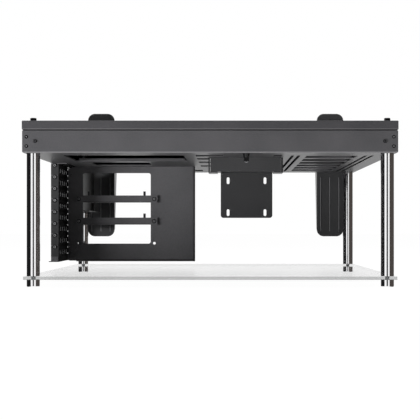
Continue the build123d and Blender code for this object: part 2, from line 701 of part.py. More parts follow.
def slot_cover(level):
    """Ribbed blank for one card slot: a tab over the front flange, a tongue through the rear flange."""
    middle = level - SLOT_CENTRE_DROP
    height = around(middle, COVER_WIDTH)
    face = (FRAME_INSIDE, FRAME_INSIDE + COVER_SHEET)
    front = FRAME_FRONT - COVER_SHEET
    tongue_end = PANEL_BACK + FRAME_SHEET + COVER_TONGUE_TIP
    shoulder = PANEL_FRONT - COVER_SHOULDER
    cover = block(face, (front, shoulder), height)
    cover += block(face, (shoulder, tongue_end), around(middle, COVER_TONGUE_WIDTH))
    cover += block((FRAME_LEFT, face[1]), (front, FRAME_FRONT), height)
    raised = (face[1], face[1] + COVER_RIB_RISE)
    for i in range(COVER_RIB_COUNT):
        centre = FRAME_FRONT + COVER_RIB_START + i * COVER_RIB_PITCH
        rib_height = around(level - COVER_RIB_DROP, COVER_RIB_HEIGHT)
        cover += block(raised, around(centre, COVER_RIB_LENGTH), rib_height)
    notch = COVER_SCREW_RADIUS + HOLE_CLEARANCE
    cover -= rod_y(cover_screw_x(), level, (front, FRAME_FRONT), notch)
    cover -= block(around(cover_screw_x(), 2 * notch), (front, FRAME_FRONT), (level, height[1]))
    return cover


def slot_screw(level):
    """Card screw in the front flange of the slot frame."""
    front = FRAME_FRONT - COVER_SHEET
    head = rod_y(cover_screw_x(), level, (front - SCREW_HEAD_HEIGHT, front), SCREW_HEAD_RADIUS)
    head = chamfer(head.edges().sort_by(Axis.Y)[0], SCREW_HEAD_CHAMFER)
    tip = FRAME_FRONT + FRAME_SHEET + COVER_SCREW_TIP
    return head + rod_y(cover_screw_x(), level, (front, tip), COVER_SCREW_RADIUS)


def riser_panel():
    """Upright steel panel with its right, lower and upper edges folded back, clear of the frame's flange."""
    left = PANEL_LEFT
    right = left + PANEL_WIDTH
    back = PANEL_FRONT + PANEL_FOLD
    outer = block((left, right), (PANEL_FRONT, back), (PANEL_BOTTOM, DECK_BOTTOM))
    outer = fillet(panel_folds(outer), PANEL_INNER_BEND + PANEL_SHEET)
    inner = block((left - PANEL_SHEET, right - PANEL_SHEET), (PANEL_BACK, back + PANEL_SHEET),
                  (PANEL_BOTTOM + PANEL_SHEET, DECK_BOTTOM - PANEL_SHEET))
    panel = outer - fillet(panel_folds(inner), PANEL_INNER_BEND)
    beside_frame = (left, FRAME_INSIDE + FRAME_REAR_FLANGE + FRAME_FLANGE_GAP)
    bend_height = (PANEL_BOTTOM, PANEL_BOTTOM + PANEL_INNER_BEND + PANEL_SHEET)
    panel -= block(beside_frame, (PANEL_BACK, back), bend_height)
    through = (PANEL_FRONT - PANEL_SHEET, PANEL_BACK + PANEL_SHEET)
    cutout = RectangleRounded(CUTOUT_WIDTH, CUTOUT_HEIGHT, CUTOUT_CORNER)
    panel -= upright(cutout, CUTOUT_X, CUTOUT_Z, through)
    for x in BAR_HOLES:
        panel -= rod_y(x, FREE_HOLE_Z, through, BAR_HOLE_RADIUS)
        panel -= [rod_y(x, z, through, SCREW_HOLE) for z in BAR_LEVELS]
    panel -= [rod_y(frame_rivet_x(), z, through, RIVET_RADIUS + FIT) for z in frame_rivet_levels()]
    fold = (DECK_BOTTOM - PANEL_SHEET, DECK_BOTTOM)
    panel -= [rod_z(x, panel_screw_y(), fold, SCREW_HOLE) for x in panel_screw_x()]
    return panel


def panel_folds(solid):
    """Front edges of the right and the lower fold."""
    front = solid.faces().sort_by(Axis.Y)[0].edges()
    return [front.sort_by(Axis.X)[-1], front.sort_by(Axis.Z)[0]]


def riser_bar(level):
    """Channel bar on the riser panel, its open side against the panel, with a groove along its front."""
    across = around(CUTOUT_X, BAR_LENGTH)
    height = around(level, BAR_HEIGHT)
    bar = block(across, (BAR_FRONT, PANEL_FRONT), height)
    inside = (height[0] + BAR_SHEET, height[1] - BAR_SHEET)
    bar -= block(across, (BAR_FRONT + BAR_SHEET, PANEL_FRONT), inside)
    groove = (height[0] + BAR_SHEET, height[0] + BAR_SHEET + BAR_GROOVE_HEIGHT)
    along = around(CUTOUT_X, BAR_GROOVE_LENGTH)
    back = BAR_FRONT + BAR_GROOVE_DEPTH
    bar += block(along, (BAR_FRONT, back + BAR_SHEET), (height[0], groove[1] + BAR_SHEET))
    bar -= block(along, (BAR_FRONT, back), groove)
    bar -= [rod_y(x, level, (BAR_FRONT, BAR_FRONT + BAR_SHEET), SCREW_HOLE) for x in BAR_HOLES]
    top = (height[1] - BAR_SHEET, height[1])
    bar -= [rod_z(x, post_y(), top, POST_SPIGOT_RADIUS + FIT) for x in around(CUTOUT_X, POST_SPACING)]
    return bar


def post_y():
    """Middle of a bar's hollow from front to rear."""
    return BAR_FRONT + (BAR_SHEET + BAR_DEPTH) / 2


def bar_spacer(x, level):
    """Tube inside a bar, between its web and the panel."""
    depth = (BAR_FRONT + BAR_SHEET, PANEL_FRONT)
    return rod_y(x, level, depth, BAR_SPACER_RADIUS) - rod_y(x, level, depth, SCREW_HOLE)


def bar_screw(x, level):
    """Screw through a bar, its spacer and the panel."""
    head = rod_y(x, level, (BAR_FRONT - SCREW_HEAD_HEIGHT, BAR_FRONT), SCREW_HEAD_RADIUS)
    head = chamfer(head.edges().sort_by(Axis.Y)[0], SCREW_HEAD_CHAMFER)
    return head + rod_y(x, level, (BAR_FRONT, PANEL_BACK + NUT_HEIGHT), SCREW_RADIUS)


def bar_nut(x, level):
    """Nut behind the panel on a bar screw."""
    depth = (PANEL_BACK, PANEL_BACK + NUT_HEIGHT)
    nut = upright(RegularPolygon(NUT_RADIUS, 6), x, level, depth)
    return nut - rod_y(x, level, depth, SCREW_HOLE)


def riser_post(x, level):
    """Post swaged into the upper flange of a bar."""
    top = level + BAR_HEIGHT / 2
    under = top - BAR_SHEET
    post = rod_z(x, post_y(), (top, top + POST_HEIGHT), POST_RADIUS)
    post += rod_z(x, post_y(), (under, top), POST_SPIGOT_RADIUS)
    return post + rod_z(x, post_y(), (under - POST_SWAGE_HEIGHT, under), POST_RADIUS)


def hanging_screw(x, y, sheet):
    """Screw from below, through a flange into the deck floor."""
    reach = sheet + DECK_SHEET + NUT_HEIGHT
    return Pos(x, y, DECK_BOTTOM - sheet) * Rot(180, 0, 0) * screw(reach)


def floor_nut(x, y):
    """Nut on the deck floor that takes a hanging screw."""
    levels = (FLOOR_TOP, FLOOR_TOP + NUT_HEIGHT)
    return flat(RegularPolygon(NUT_RADIUS, 6), x, y, levels) - rod_z(x, y, levels, SCREW_HOLE)


def supply_bracket(name):
    """Folded rail that carries one side of a power supply."""
    inside = SUPPLY_SIDES[name]
    out = -1 if name == "left" else 1
    bottom = DECK_BOTTOM - SUPPLY_HEIGHT
    wall = sorted((inside, inside + out * SUPPLY_SHEET))
    flange = sorted((inside, inside + out * (SUPPLY_SHEET + SUPPLY_FLANGE)))
    ledge = sorted((inside + out * SUPPLY_SHEET, inside - out * SUPPLY_LIP))
    bracket = block(wall, SUPPLY_Y, (bottom, DECK_BOTTOM))
    top = (DECK_BOTTOM - SUPPLY_SHEET, DECK_BOTTOM)
    bracket += block(flange, SUPPLY_Y, top)
    bracket += block(ledge, SUPPLY_Y, (bottom, bottom + SUPPLY_SHEET))
    x = inside + out * (SUPPLY_SHEET + SUPPLY_FLANGE / 2)
    return bracket - [rod_z(x, y, top, SCREW_HOLE) for y in supply_screw_y()]


def drive_tray():
    """Shallow folded tray with a front wall, two side walls and a floor."""
    across = around(DRIVE_X, DRIVE_WIDTH)
    depth = (DRIVE_FRONT, DRIVE_FRONT + DRIVE_DEPTH)
    behind_front = (DRIVE_FRONT + DRIVE_SHEET, depth[1])
    tray = block(across, depth, (DRIVE_BOTTOM, DECK_BOTTOM))
    tray -= block(across, behind_front, (DECK_BOTTOM - RAIL_SHEET, DECK_BOTTOM))
    tray -= block((across[0] + DRIVE_SHEET, across[1] - DRIVE_SHEET), behind_front,
                  (DRIVE_BOTTOM + DRIVE_SHEET, DECK_BOTTOM))
    floor = (DRIVE_BOTTOM, DRIVE_BOTTOM + DRIVE_SHEET)
    tray -= [rod_z(x, rail_screw_y(), floor, SCREW_HOLE) for x in ledge_screw_x()]
    return tray - [rod_z(x, pump_screw_y(), floor, SCREW_HOLE) for x in around(PUMP_X, PUMP_SCREW_SPACING)]


def ledge_screw_x():
    """Middle of each drive rail's ledge."""
    reach = (DRIVE_WIDTH - RAIL_LEDGE) / 2
    return [DRIVE_X - reach, DRIVE_X + reach]


def drive_rail(side):
    """Channel that hangs from the deck, with a ledge under one side of the drive tray."""
    edge = DRIVE_X + side * DRIVE_WIDTH / 2
    outside = edge + side * (RAIL_GAP + RAIL_SHEET)
    depth = (DRIVE_FRONT + RAIL_SETBACK, DRIVE_FRONT + DRIVE_DEPTH)
    top = (DECK_BOTTOM - RAIL_SHEET, DECK_BOTTOM)
    low = (DRIVE_BOTTOM - RAIL_SHEET, DRIVE_BOTTOM)
    rail = block(sorted((edge + side * RAIL_GAP, outside)), depth, (low[0], top[1]))
    rail += block(sorted((outside, edge - side * RAIL_FLANGE)), depth, top)
    rail += block(sorted((outside, edge - side * RAIL_LEDGE)), depth, low)
    rail -= rod_z(edge - side * RAIL_FLANGE / 2, rail_screw_y(), top, SCREW_HOLE)
    return rail - rod_z(edge - side * RAIL_LEDGE / 2, rail_screw_y(), low, SCREW_HOLE)


def rail_screw(x):
    """Screw from inside the drive tray, through its floor into a rail's ledge."""
    return Pos(x, rail_screw_y(), DRIVE_BOTTOM + DRIVE_SHEET) * screw(DRIVE_SHEET + RAIL_SHEET)


def pump_screw_y():
    """Middle of the pump bracket's upper leg."""
    return PUMP_FRONT + PUMP_SHEET + (PUMP_LEG - PUMP_SHEET) / 2


def pump_bracket():
    """Folded bracket with four upright slots for a pump."""
    across = around(PUMP_X, PUMP_WIDTH)
    depth = (PUMP_FRONT, PUMP_FRONT + PUMP_SHEET)
    plate = block(across, depth, (PUMP_TOP - PUMP_HEIGHT, PUMP_TOP))
    corners = plate.edges().filter_by(Axis.Y).group_by(Axis.Z)[0]
    plate = fillet(corners, PUMP_CORNER)
    slot = Rot(0, 0, 90) * SlotOverall(PUMP_SLOT_LENGTH, PUMP_SLOT_WIDTH)
    upper = PUMP_TOP - PUMP_SLOT_DROP
    for x in around(PUMP_X, PUMP_SLOT_SPACING_X):
        for z in (upper, upper - PUMP_SLOT_SPACING_Z):
            plate -= upright(slot, x, z, depth)
    leg_levels = (PUMP_TOP - PUMP_SHEET, PUMP_TOP)
    bracket = plate + block(across, (PUMP_FRONT, PUMP_FRONT + PUMP_LEG), leg_levels)
    screws = around(PUMP_X, PUMP_SCREW_SPACING)
    return bracket - [rod_z(x, pump_screw_y(), leg_levels, SCREW_HOLE) for x in screws]


def pump_screw(x):
    """Screw from below through the pump bracket into the drive tray."""
    reach = PUMP_SHEET + DRIVE_SHEET + CORNER_SCREW_TIP
    return Pos(x, pump_screw_y(), PUMP_TOP - PUMP_SHEET) * Rot(180, 0, 0) * screw(reach)


def front_knob():
    """Tapered black knob with a threaded stud through the deck floor."""
    low = DECK_BOTTOM - KNOB_HEIGHT
    cone = Cone(KNOB_BOTTOM_RADIUS, KNOB_TOP_RADIUS, KNOB_HEIGHT)
    cone = Pos(KNOB_X, KNOB_Y, low + KNOB_HEIGHT / 2) * cone
    return cone + rod_z(KNOB_X, KNOB_Y, (DECK_BOTTOM, FLOOR_TOP + NUT_HEIGHT), KNOB_STUD_RADIUS)


def knob_dome():
    """Ball on the end of the knob, cut flat where it meets the cone."""
    low = DECK_BOTTOM - KNOB_HEIGHT
    radius = KNOB_BOTTOM_RADIUS + DOME_BULGE
    drop = (radius ** 2 - KNOB_BOTTOM_RADIUS ** 2) ** 0.5
    ball = Pos(KNOB_X, KNOB_Y, low - drop) * Sphere(radius)
    reach = drop + radius
    below = block(around(KNOB_X, reach), around(KNOB_Y, reach), (low - reach, low))
    return ball & below


def knob_nut():
    """Nut on the deck floor that holds the knob's stud."""
    levels = (FLOOR_TOP, FLOOR_TOP + NUT_HEIGHT)
    hole = rod_z(KNOB_X, KNOB_Y, levels, KNOB_STUD_RADIUS + FIT)
    return flat(RegularPolygon(NUT_RADIUS, 6), KNOB_X, KNOB_Y, levels) - hole


def radiator_bracket(side):
    """Upright bracket with ribs pressed out of its front and tapered side flanges turned to the rear."""
    x = side * REAR_BRACKET_X
    low = REAR_BRACKET_BOTTOM
    high = low + REAR_BRACKET_LENGTH
    depth = (REAR_BRACKET_FRONT, REAR_BRACKET_BACK)
    outline = RectangleRounded(REAR_BRACKET_WIDTH, REAR_BRACKET_LENGTH, REAR_BRACKET_CORNER)
    bracket = upright(outline, x, REAR_BRACKET_MIDDLE, depth)
    below_deck = (low + REAR_RIB_MARGIN, DECK_BOTTOM - REAR_RIB_MARGIN)
    above_lid = (LID_TOP + REAR_RIB_MARGIN, high - REAR_RIB_MARGIN)
    for step in (-1, 0, 1):
        for reach in (below_deck, above_lid):
            bracket += rod_z(x + step * REAR_RIB_PITCH, REAR_BRACKET_FRONT, reach, REAR_RIB_RADIUS)
    bracket -= [rod_y(x, z, depth, SCREW_HOLE) for z in REAR_SCREW_LEVELS]
    tip = REAR_BRACKET_BACK + REAR_FLANGE_END
    root = REAR_BRACKET_BACK + REAR_FLANGE_DEPTH
    ends = (low + REAR_BRACKET_CORNER, high - REAR_BRACKET_CORNER)
    middle = (DECK_BOTTOM, LID_TOP)
    flange = [(REAR_BRACKET_FRONT, ends[0]), (tip, ends[0]), (root, middle[0])]
    flange += [(root, middle[1]), (tip, ends[1]), (REAR_BRACKET_FRONT, ends[1])]
    for edge, inward in zip(around(x, REAR_BRACKET_WIDTH), (1, -1)):
        bracket += outline_x(flange, sorted((edge, edge + inward * REAR_BRACKET_SHEET)))
    return bracket


def rear_washer(x, z):
    """Washer between the deck's rear wall and a radiator bracket."""
    depth = (TRAY_REAR, REAR_BRACKET_FRONT)
    return rod_y(x, z, depth, WASHER_RADIUS) - rod_y(x, z, depth, SCREW_HOLE)


def rear_screw(x, z):
    """Screw that clamps a radiator bracket to the deck's rear wall."""
    reach = REAR_BRACKET_BACK - TRAY_REAR + DECK_SHEET + NUT_HEIGHT
    return Pos(x, REAR_BRACKET_BACK, z) * Rot(-90, 0, 0) * screw(reach)


def rear_nut(x, z):
    """Nut inside the deck on a bracket screw."""
    inside = TRAY_REAR - DECK_SHEET
    depth = (inside - NUT_HEIGHT, inside)
    return upright(RegularPolygon(NUT_RADIUS, 6), x, z, depth) - rod_y(x, z, depth, SCREW_HOLE)


def all_hanging_screws():
    """Screws from below for the slot frame, riser panel, supply brackets and drive rails."""
    screws = [hanging_screw(x, y, FRAME_SHEET) for x in frame_screw_x() for y in frame_screw_y()]
    screws += [hanging_screw(x, panel_screw_y(), PANEL_SHEET) for x in panel_screw_x()]
    screws += [hanging_screw(x, y, SUPPLY_SHEET) for x in supply_screw_x() for y in supply_screw_y()]
    screws += [hanging_screw(x, rail_screw_y(), RAIL_SHEET) for x in rail_screw_x()]
    return screws


def bench():
    """Every piece of the bench by name."""
    bars = [(x, level) for level in BAR_LEVELS for x in BAR_HOLES]
    posts = [(x, level) for level in BAR_LEVELS for x in around(CUTOUT_X, POST_SPACING)]
    inserts = [(x, y, z) for x, y in LEGS for z in (PLATE_TOP, DECK_BOTTOM - INSERT_LENGTH)]
    rivets = [at_corner(rivet(z), s, e) for s, e in CORNERS for z in rivet_levels()]
    pieces = {
        "deck_tray": deck_tray(),
        "deck_lid": deck_lid(),
        "base_plate": base_plate(),
        "lid_grommets": group(lid_grommet(centre, turn) for centre, turn in cable_openings()),
        "board_standoffs": group(standoff(x, y) for x, y in standoff_places()),
        "corner_rivets": group(rivets),
        "corner_screws": group(at_corner(corner_screw(), s, -1) for s in (-1, 1)),
        "leg_inserts": group(leg_insert(x, y, z) for x, y, z in inserts),
        "leg_studs": group(rod_z(x, y, (FOOT_BORE_FLOOR, PLATE_TOP + THREAD_REACH), LEG_SCREW_RADIUS)
                           for x, y in LEGS),
        "leg_screws": group(leg_screw(x, y) for x, y in LEGS),
        "deck_spacers": group(deck_spacer(x, y) for x, y in LEGS),
        "slot_frame": slot_frame(),
        "slot_screws": group(slot_screw(level) for level in slot_screw_levels()),
        "frame_rivets": group(frame_rivet(z) for z in frame_rivet_levels()),
        "riser_panel": riser_panel(),
        "bar_spacers": group(bar_spacer(x, z) for x, z in bars),
        "bar_screws": group(bar_screw(x, z) for x, z in bars),
        "bar_nuts": group(bar_nut(x, z) for x, z in bars),
        "riser_posts": group(riser_post(x, z) for x, z in posts),
        "hanging_screws": group(all_hanging_screws()),
        "floor_nuts": group(floor_nut(x, y) for x, y in hanging_screws()),
        "supply_bracket_left": supply_bracket("left"),
        "supply_bracket_right": supply_bracket("right"),
        "drive_tray": drive_tray(),
        "drive_rail_left": drive_rail(-1),
        "drive_rail_right": drive_rail(1),
        "rail_screws": group(rail_screw(x) for x in ledge_screw_x()),
        "pump_bracket": pump_bracket(),
        "pump_screws": group(pump_screw(x) for x in around(PUMP_X, PUMP_SCREW_SPACING)),
        "front_knob": front_knob(),
        "knob_dome": knob_dome(),
        "knob_nut": knob_nut(),
        "radiator_bracket_left": radiator_bracket(-1),
        "radiator_bracket_right": radiator_bracket(1),
        "bracket_washers": group(rear_washer(x, z) for x, z in rear_screws()),
        "bracket_screws": group(rear_screw(x, z) for x, z in rear_screws()),
        "bracket_nuts": group(rear_nut(x, z) for x, z in rear_screws()),
    }
    for name, (x, y), (side, end) in zip(LEG_NAMES, LEGS, CORNERS):
        pieces["leg_" + name] = leg(x, y)
        pieces["foot_" + name] = foot(x, y)
        pieces["corner_angle_" + name] = corner_angle(side, end)
    for number, level in enumerate(slot_screw_levels(), start=1):
        pieces["slot_cover_" + str(number)] = slot_cover(level)
    for name, level in zip(("lower", "upper"), BAR_LEVELS):
        pieces["riser_bar_" + name] = riser_bar(level)
    return pieces


def footprint_middle(pieces):
    """Middle of everything together, at floor level."""
    boxes = [piece.bounding_box() for piece in pieces.values()]
    across = min(box.min.X for box in boxes), max(box.max.X for box in boxes)
    depth = min(box.min.Y for box in boxes), max(box.max.Y for box in boxes)
    return Pos(-sum(across) / 2, -sum(depth) / 2, -min(box.min.Z for box in boxes))


os.makedirs("parts", exist_ok=True)
made = bench()
to_origin = footprint_middle(made)
print("moved by", to_origin.position)
for name, piece in made.items():
    export_step(to_origin * piece, "parts/" + name + ".step")
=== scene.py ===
# %% [markdown]
# An open air test bench, dressed for its picture.
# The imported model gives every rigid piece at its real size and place. This lesson adds what the
# eye expects on top of it: a camera that stands where the photographer stood, a white studio,
# one finish for each material, and the small fasteners with their sockets and slots.

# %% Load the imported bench
import json
import math

import bmesh
import bpy
from mathutils import Matrix, Vector


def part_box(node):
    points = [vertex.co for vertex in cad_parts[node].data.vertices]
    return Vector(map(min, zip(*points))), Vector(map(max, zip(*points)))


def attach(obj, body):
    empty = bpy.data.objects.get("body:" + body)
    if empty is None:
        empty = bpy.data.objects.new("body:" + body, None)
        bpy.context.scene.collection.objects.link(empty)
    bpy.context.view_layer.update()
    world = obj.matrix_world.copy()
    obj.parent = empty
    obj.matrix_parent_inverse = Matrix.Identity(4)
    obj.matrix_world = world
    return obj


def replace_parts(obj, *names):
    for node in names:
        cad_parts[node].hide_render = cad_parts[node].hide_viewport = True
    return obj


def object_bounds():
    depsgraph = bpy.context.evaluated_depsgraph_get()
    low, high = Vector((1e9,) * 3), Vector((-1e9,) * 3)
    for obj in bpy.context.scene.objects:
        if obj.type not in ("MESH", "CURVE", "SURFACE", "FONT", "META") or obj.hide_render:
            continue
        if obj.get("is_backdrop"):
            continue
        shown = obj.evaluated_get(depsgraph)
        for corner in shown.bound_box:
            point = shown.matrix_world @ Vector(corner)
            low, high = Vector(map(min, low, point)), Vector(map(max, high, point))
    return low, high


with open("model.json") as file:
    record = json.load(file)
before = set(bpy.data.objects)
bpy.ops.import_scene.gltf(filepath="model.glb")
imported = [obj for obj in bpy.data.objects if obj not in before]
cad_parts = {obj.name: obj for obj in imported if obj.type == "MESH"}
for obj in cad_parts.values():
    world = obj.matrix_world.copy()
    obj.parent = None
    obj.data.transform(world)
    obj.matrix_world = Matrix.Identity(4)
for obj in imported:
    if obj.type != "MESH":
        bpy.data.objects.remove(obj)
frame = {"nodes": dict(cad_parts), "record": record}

MM = 0.001
CAD_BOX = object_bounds()
print("pieces in the frame:", len(frame["nodes"]))

# %% [markdown]
# The photograph was taken from straight ahead, a little above the base plate and well below the
# deck, so the deck shows its underside. The lens stays level, and the picture is moved in the
# frame with the camera's shift, as an architect's camera does, to keep the legs upright.

# %% Camera
PICTURE = 420
FOCAL_PIXELS = 1109.3
LENS_AXIS = (231.0, 228.0)
CAMERA_PLACE = Vector((33.1, -1985.9, 89.0)) * MM
SENSOR_MM = 36.0
FAR_CLIP = 100.0

lens = bpy.data.cameras.new("front_camera")
lens.sensor_width = SENSOR_MM
lens.lens = SENSOR_MM * FOCAL_PIXELS / PICTURE
lens.shift_x = (PICTURE / 2 - LENS_AXIS[0]) / PICTURE
lens.shift_y = (LENS_AXIS[1] - PICTURE / 2) / PICTURE
lens.clip_end = FAR_CLIP
camera = bpy.data.objects.new("front_camera", lens)
camera.location = CAMERA_PLACE
camera.rotation_euler = (math.radians(90), 0, 0)
bpy.context.scene.collection.objects.link(camera)
bpy.context.scene.camera = camera
print("lens", round(lens.lens, 1), "mm, shift", round(lens.shift_x, 3), round(lens.shift_y, 3))

# %% [markdown]
# Every finish and the studio itself are node trees. Three helpers keep them short: one turns the
# sRGB colour that a designer would write into the linear one that Blender computes with, one adds
# a node with its options and its inputs, which are plain values or sockets of other nodes, and
# one starts a material with an empty tree.

# %% Helpers for node trees
def linear(hex_colour):
    """Linear red, green, blue and an alpha of 1 for a colour such as #4A4A4C."""
    shares = [int(hex_colour[i:i + 2], 16) / 255 for i in (1, 3, 5)]
    return [s / 12.92 if s <= 0.04045 else ((s + 0.055) / 1.055) ** 2.4 for s in shares] + [1.0]


def add(tree, kind, inputs=None, **options):
    """A new node in a tree, with its options set and its inputs filled or joined."""
    node = tree.nodes.new(kind)
    for name, value in options.items():
        setattr(node, name, value)
    for name, value in (inputs or {}).items():
        if isinstance(value, bpy.types.NodeSocket):
            tree.links.new(value, node.inputs[name])
        else:
            node.inputs[name].default_value = value
    return node


def empty_finish(name):
    """A material with an empty node tree, and that tree."""
    finish = bpy.data.materials.new(name)
    finish.use_nodes = True
    finish.node_tree.nodes.clear()
    return finish, finish.node_tree


print("half grey #808080 is", round(linear("#808080")[0], 3), "in linear light")

# %% [markdown]
# The studio is white all round. The world shows plain white to the camera, to mirrors and through
# clear things, and lights the bench softly with much less. Light Path tells the two apart.

# %% White world
AMBIENT = 0.22


def shown_white(tree):
    """A socket that is 1 where a ray shows the studio itself: seen, mirrored or through glass."""
    path = add(tree, "ShaderNodeLightPath").outputs
    seen = add(tree, "ShaderNodeMath", {0: path["Is Camera Ray"], 1: path["Is Glossy Ray"]},
               operation="MAXIMUM")
    through = add(tree, "ShaderNodeMath", {0: seen.outputs[0], 1: path["Is Transmission Ray"]},
                  operation="MAXIMUM")
    return through.outputs[0]


world = bpy.data.worlds.new("white_studio")
world.use_nodes = True
sky = world.node_tree
sky.nodes.clear()
strength = add(sky, "ShaderNodeMapRange", {"Value": shown_white(sky), "To Min": AMBIENT,
                                           "To Max": 1.0})
backdrop = add(sky, "ShaderNodeBackground", {"Color": linear("#FFFFFF"),
                                             "Strength": strength.outputs[0]})
add(sky, "ShaderNodeOutputWorld", {"Surface": backdrop.outputs[0]})
bpy.context.scene.world = world
print("the world lights with a share of", AMBIENT)

# %% [markdown]
# The floor is white too. Most of what it shows is a plain white glow, and a small share is matt
# white, which takes the faint shadow under the feet. Mirrors see the white world in its place.

# %% White floor
FLOOR_SIZE = 30.0
FLOOR_LEVEL = CAD_BOX[0].z
FLOOR_WHITE_SHARE = 0.93
FLOOR_GLOW = 1.05


def card(name, corners, finish):
    """A flat four-cornered sheet of the studio."""
    sheet = bpy.data.meshes.new(name)
    sheet.from_pydata(corners, [], [(0, 1, 2, 3)])
    sheet.materials.append(finish)
    made = bpy.data.objects.new(name, sheet)
    bpy.context.scene.collection.objects.link(made)
    made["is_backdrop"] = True
    return made


floor_finish, tree = empty_finish("white_floor")
share = add(tree, "ShaderNodeMath", {0: shown_white(tree), 1: FLOOR_WHITE_SHARE},
            operation="MULTIPLY")
matt = add(tree, "ShaderNodeBsdfDiffuse", {"Color": linear("#F4F4F4")})
glow = add(tree, "ShaderNodeEmission", {"Color": linear("#FFFFFF"), "Strength": FLOOR_GLOW})
both = add(tree, "ShaderNodeMixShader", {0: share.outputs[0], 1: matt.outputs[0],
                                         2: glow.outputs[0]})
add(tree, "ShaderNodeOutputMaterial", {"Surface": both.outputs[0]})

half = FLOOR_SIZE / 2
plan = ((-half, -half), (half, -half), (half, half), (-half, half))
ground = card("floor", [(x, y, FLOOR_LEVEL) for x, y in plan], floor_finish)
ground.visible_glossy = False
print("floor at", round(FLOOR_LEVEL, 4))

# %% [markdown]
# Chrome has no colour of its own: it shows the room. The legs in the photograph have dark bands
# at both sides and a thin dark line down the middle, which is what dark cards beside the bench
# and the camera's own stand do. These cards are seen only in mirrors, so they cast no shadow.

# %% Dark cards that the chrome mirrors
CARD_DISTANCE = 0.85
CARD_REAR = 1.7
CARD_TOP = 1.6
CARD_BOTTOM = -0.8
LEFT_CARD_FRONT = -1.1
RIGHT_CARD_FRONT = -1.25
STAND_WIDTH = 0.85
STAND_BEHIND_LENS = 0.1


def upright(start, end, low, high):
    """Corners of an upright sheet between two places on the ground plan."""
    return [(*start, low), (*end, low), (*end, high), (*start, high)]


def seen_only_by(sheet, kind):
    """Hides a sheet from every kind of ray but one."""
    for ray in ("camera", "diffuse", "glossy", "transmission", "shadow"):
        setattr(sheet, "visible_" + ray, ray == kind)


def dark_card(name, hex_colour, start, end):
    """A dark upright card that only mirrors show."""
    finish, tree = empty_finish(name)
    dark = add(tree, "ShaderNodeEmission", {"Color": linear(hex_colour), "Strength": 1.0})
    add(tree, "ShaderNodeOutputMaterial", {"Surface": dark.outputs[0]})
    seen_only_by(card(name, upright(start, end, CARD_BOTTOM, CARD_TOP), finish), "glossy")


dark_card("card_left", "#1C1C1D", (-CARD_DISTANCE, LEFT_CARD_FRONT), (-CARD_DISTANCE, CARD_REAR))
dark_card("card_right", "#4A4542", (CARD_DISTANCE, RIGHT_CARD_FRONT), (CARD_DISTANCE, CARD_REAR))
stand_y = CAMERA_PLACE.y - STAND_BEHIND_LENS
dark_card("camera_stand", "#4C4C4C", (CAMERA_PLACE.x - STAND_WIDTH / 2, stand_y),
          (CAMERA_PLACE.x + STAND_WIDTH / 2, stand_y))
print("three dark cards")

# %% [markdown]
# Three soft lamps model the form. A low, wide one at the front left lights the deck's front and
# reaches under it to the riser panel, whose left part lies in the slot frame's shade. A second
# lies on the floor in front and shines up: it stands for the light that a white studio table
# throws back. The third hangs over the lid.

# %% Soft lamps
def soft_lamp(name, place, target, size, watts, spread=180):
    """A rectangular soft lamp that shines at a point within a spread in degrees, itself unseen."""
    light = bpy.data.lights.new(name, "AREA")
    light.shape = "RECTANGLE"
    light.size, light.size_y = size
    light.energy = watts
    light.spread = math.radians(spread)
    lamp = bpy.data.objects.new(name, light)
    lamp.location = place
    lamp.rotation_euler = (Vector(target) - Vector(place)).to_track_quat("-Z", "Y").to_euler()
    bpy.context.scene.collection.objects.link(lamp)
    lamp.visible_glossy = False
    lamp.visible_camera = False


soft_lamp("side_lamp", place=(-1.7, -1.5, 0.1), target=(-1.3, 0, 0.1), size=(1.3, 0.18),
          watts=43, spread=138)
soft_lamp("table_light", place=(0.2, -0.78, 0.004), target=(0.2, -0.78, 1), size=(1.0, 0.7),
          watts=3)
soft_lamp("top_lamp", place=(0, 0.2, 2.2), target=(0, 0.2, 0), size=(1.5, 1.5), watts=40)
print("three lamps")

# %% [markdown]
# A studio flag is a dark sheet that stands just out of the picture and keeps a lamp off one place.
# In the photograph the space behind the riser panel and the left bracket above the lid are in deep
# shade, so two flags stand beside the bench at the rear left. A third, low one stands between the
# side lamp and the bench, so that the panel and the bars grow darker towards the base plate. The
# last fills the narrow gaps between the slot covers, through which the lamp would draw streaks on
# the panel. They only cast shadow and are not seen.

# %% Flags
REAR_FLAG_GAP = 0.02
REAR_FLAG_FROM, REAR_FLAG_TO = 0.07, 0.5
FRONT_FLAG = ((-1.1, -0.736), (-0.2, -0.93))
RIB_RISE = 1.5
COVER_SHEET = 0.8
rear_x = CAD_BOX[0].x - REAR_FLAG_GAP
rear_flag = ((rear_x, REAR_FLAG_FROM), (rear_x, REAR_FLAG_TO))
cover_low, cover_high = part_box("slot_cover_1")
cover_x = cover_high.x - (RIB_RISE + COVER_SHEET / 2) * MM
slot_flag = ((cover_x, cover_low.y + MM), (cover_x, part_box("riser_panel")[0].y))
frame_low, frame_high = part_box("slot_frame")
flag_cloth = bpy.data.materials.new("black_flag_cloth")
for name, (start, end), low, high in (("flag_below_deck", rear_flag, 0.09, 0.19),
                                      ("flag_above_lid", rear_flag, 0.268, 0.6),
                                      ("flag_in_front", FRONT_FLAG, 0.0, 0.077),
                                      ("flag_in_slots", slot_flag, frame_low.z + MM, frame_high.z)):
    seen_only_by(card(name, upright(start, end, low, high), flag_cloth), "shadow")
    print(name, "from", round(low, 3), "to", round(high, 3))

# %% [markdown]
# Most of the bench is folded steel sheet with a baked black powder coat: a matt paint whose tiny
# grains leave a fine sandy skin and a soft, broken sheen. Chromed tube, clear cast sheet, black
# screws, plated inner pieces, turned brass, rubber and moulded plastic make up the rest. Every
# finish reads the object's own coordinates, and every pattern has a real size.

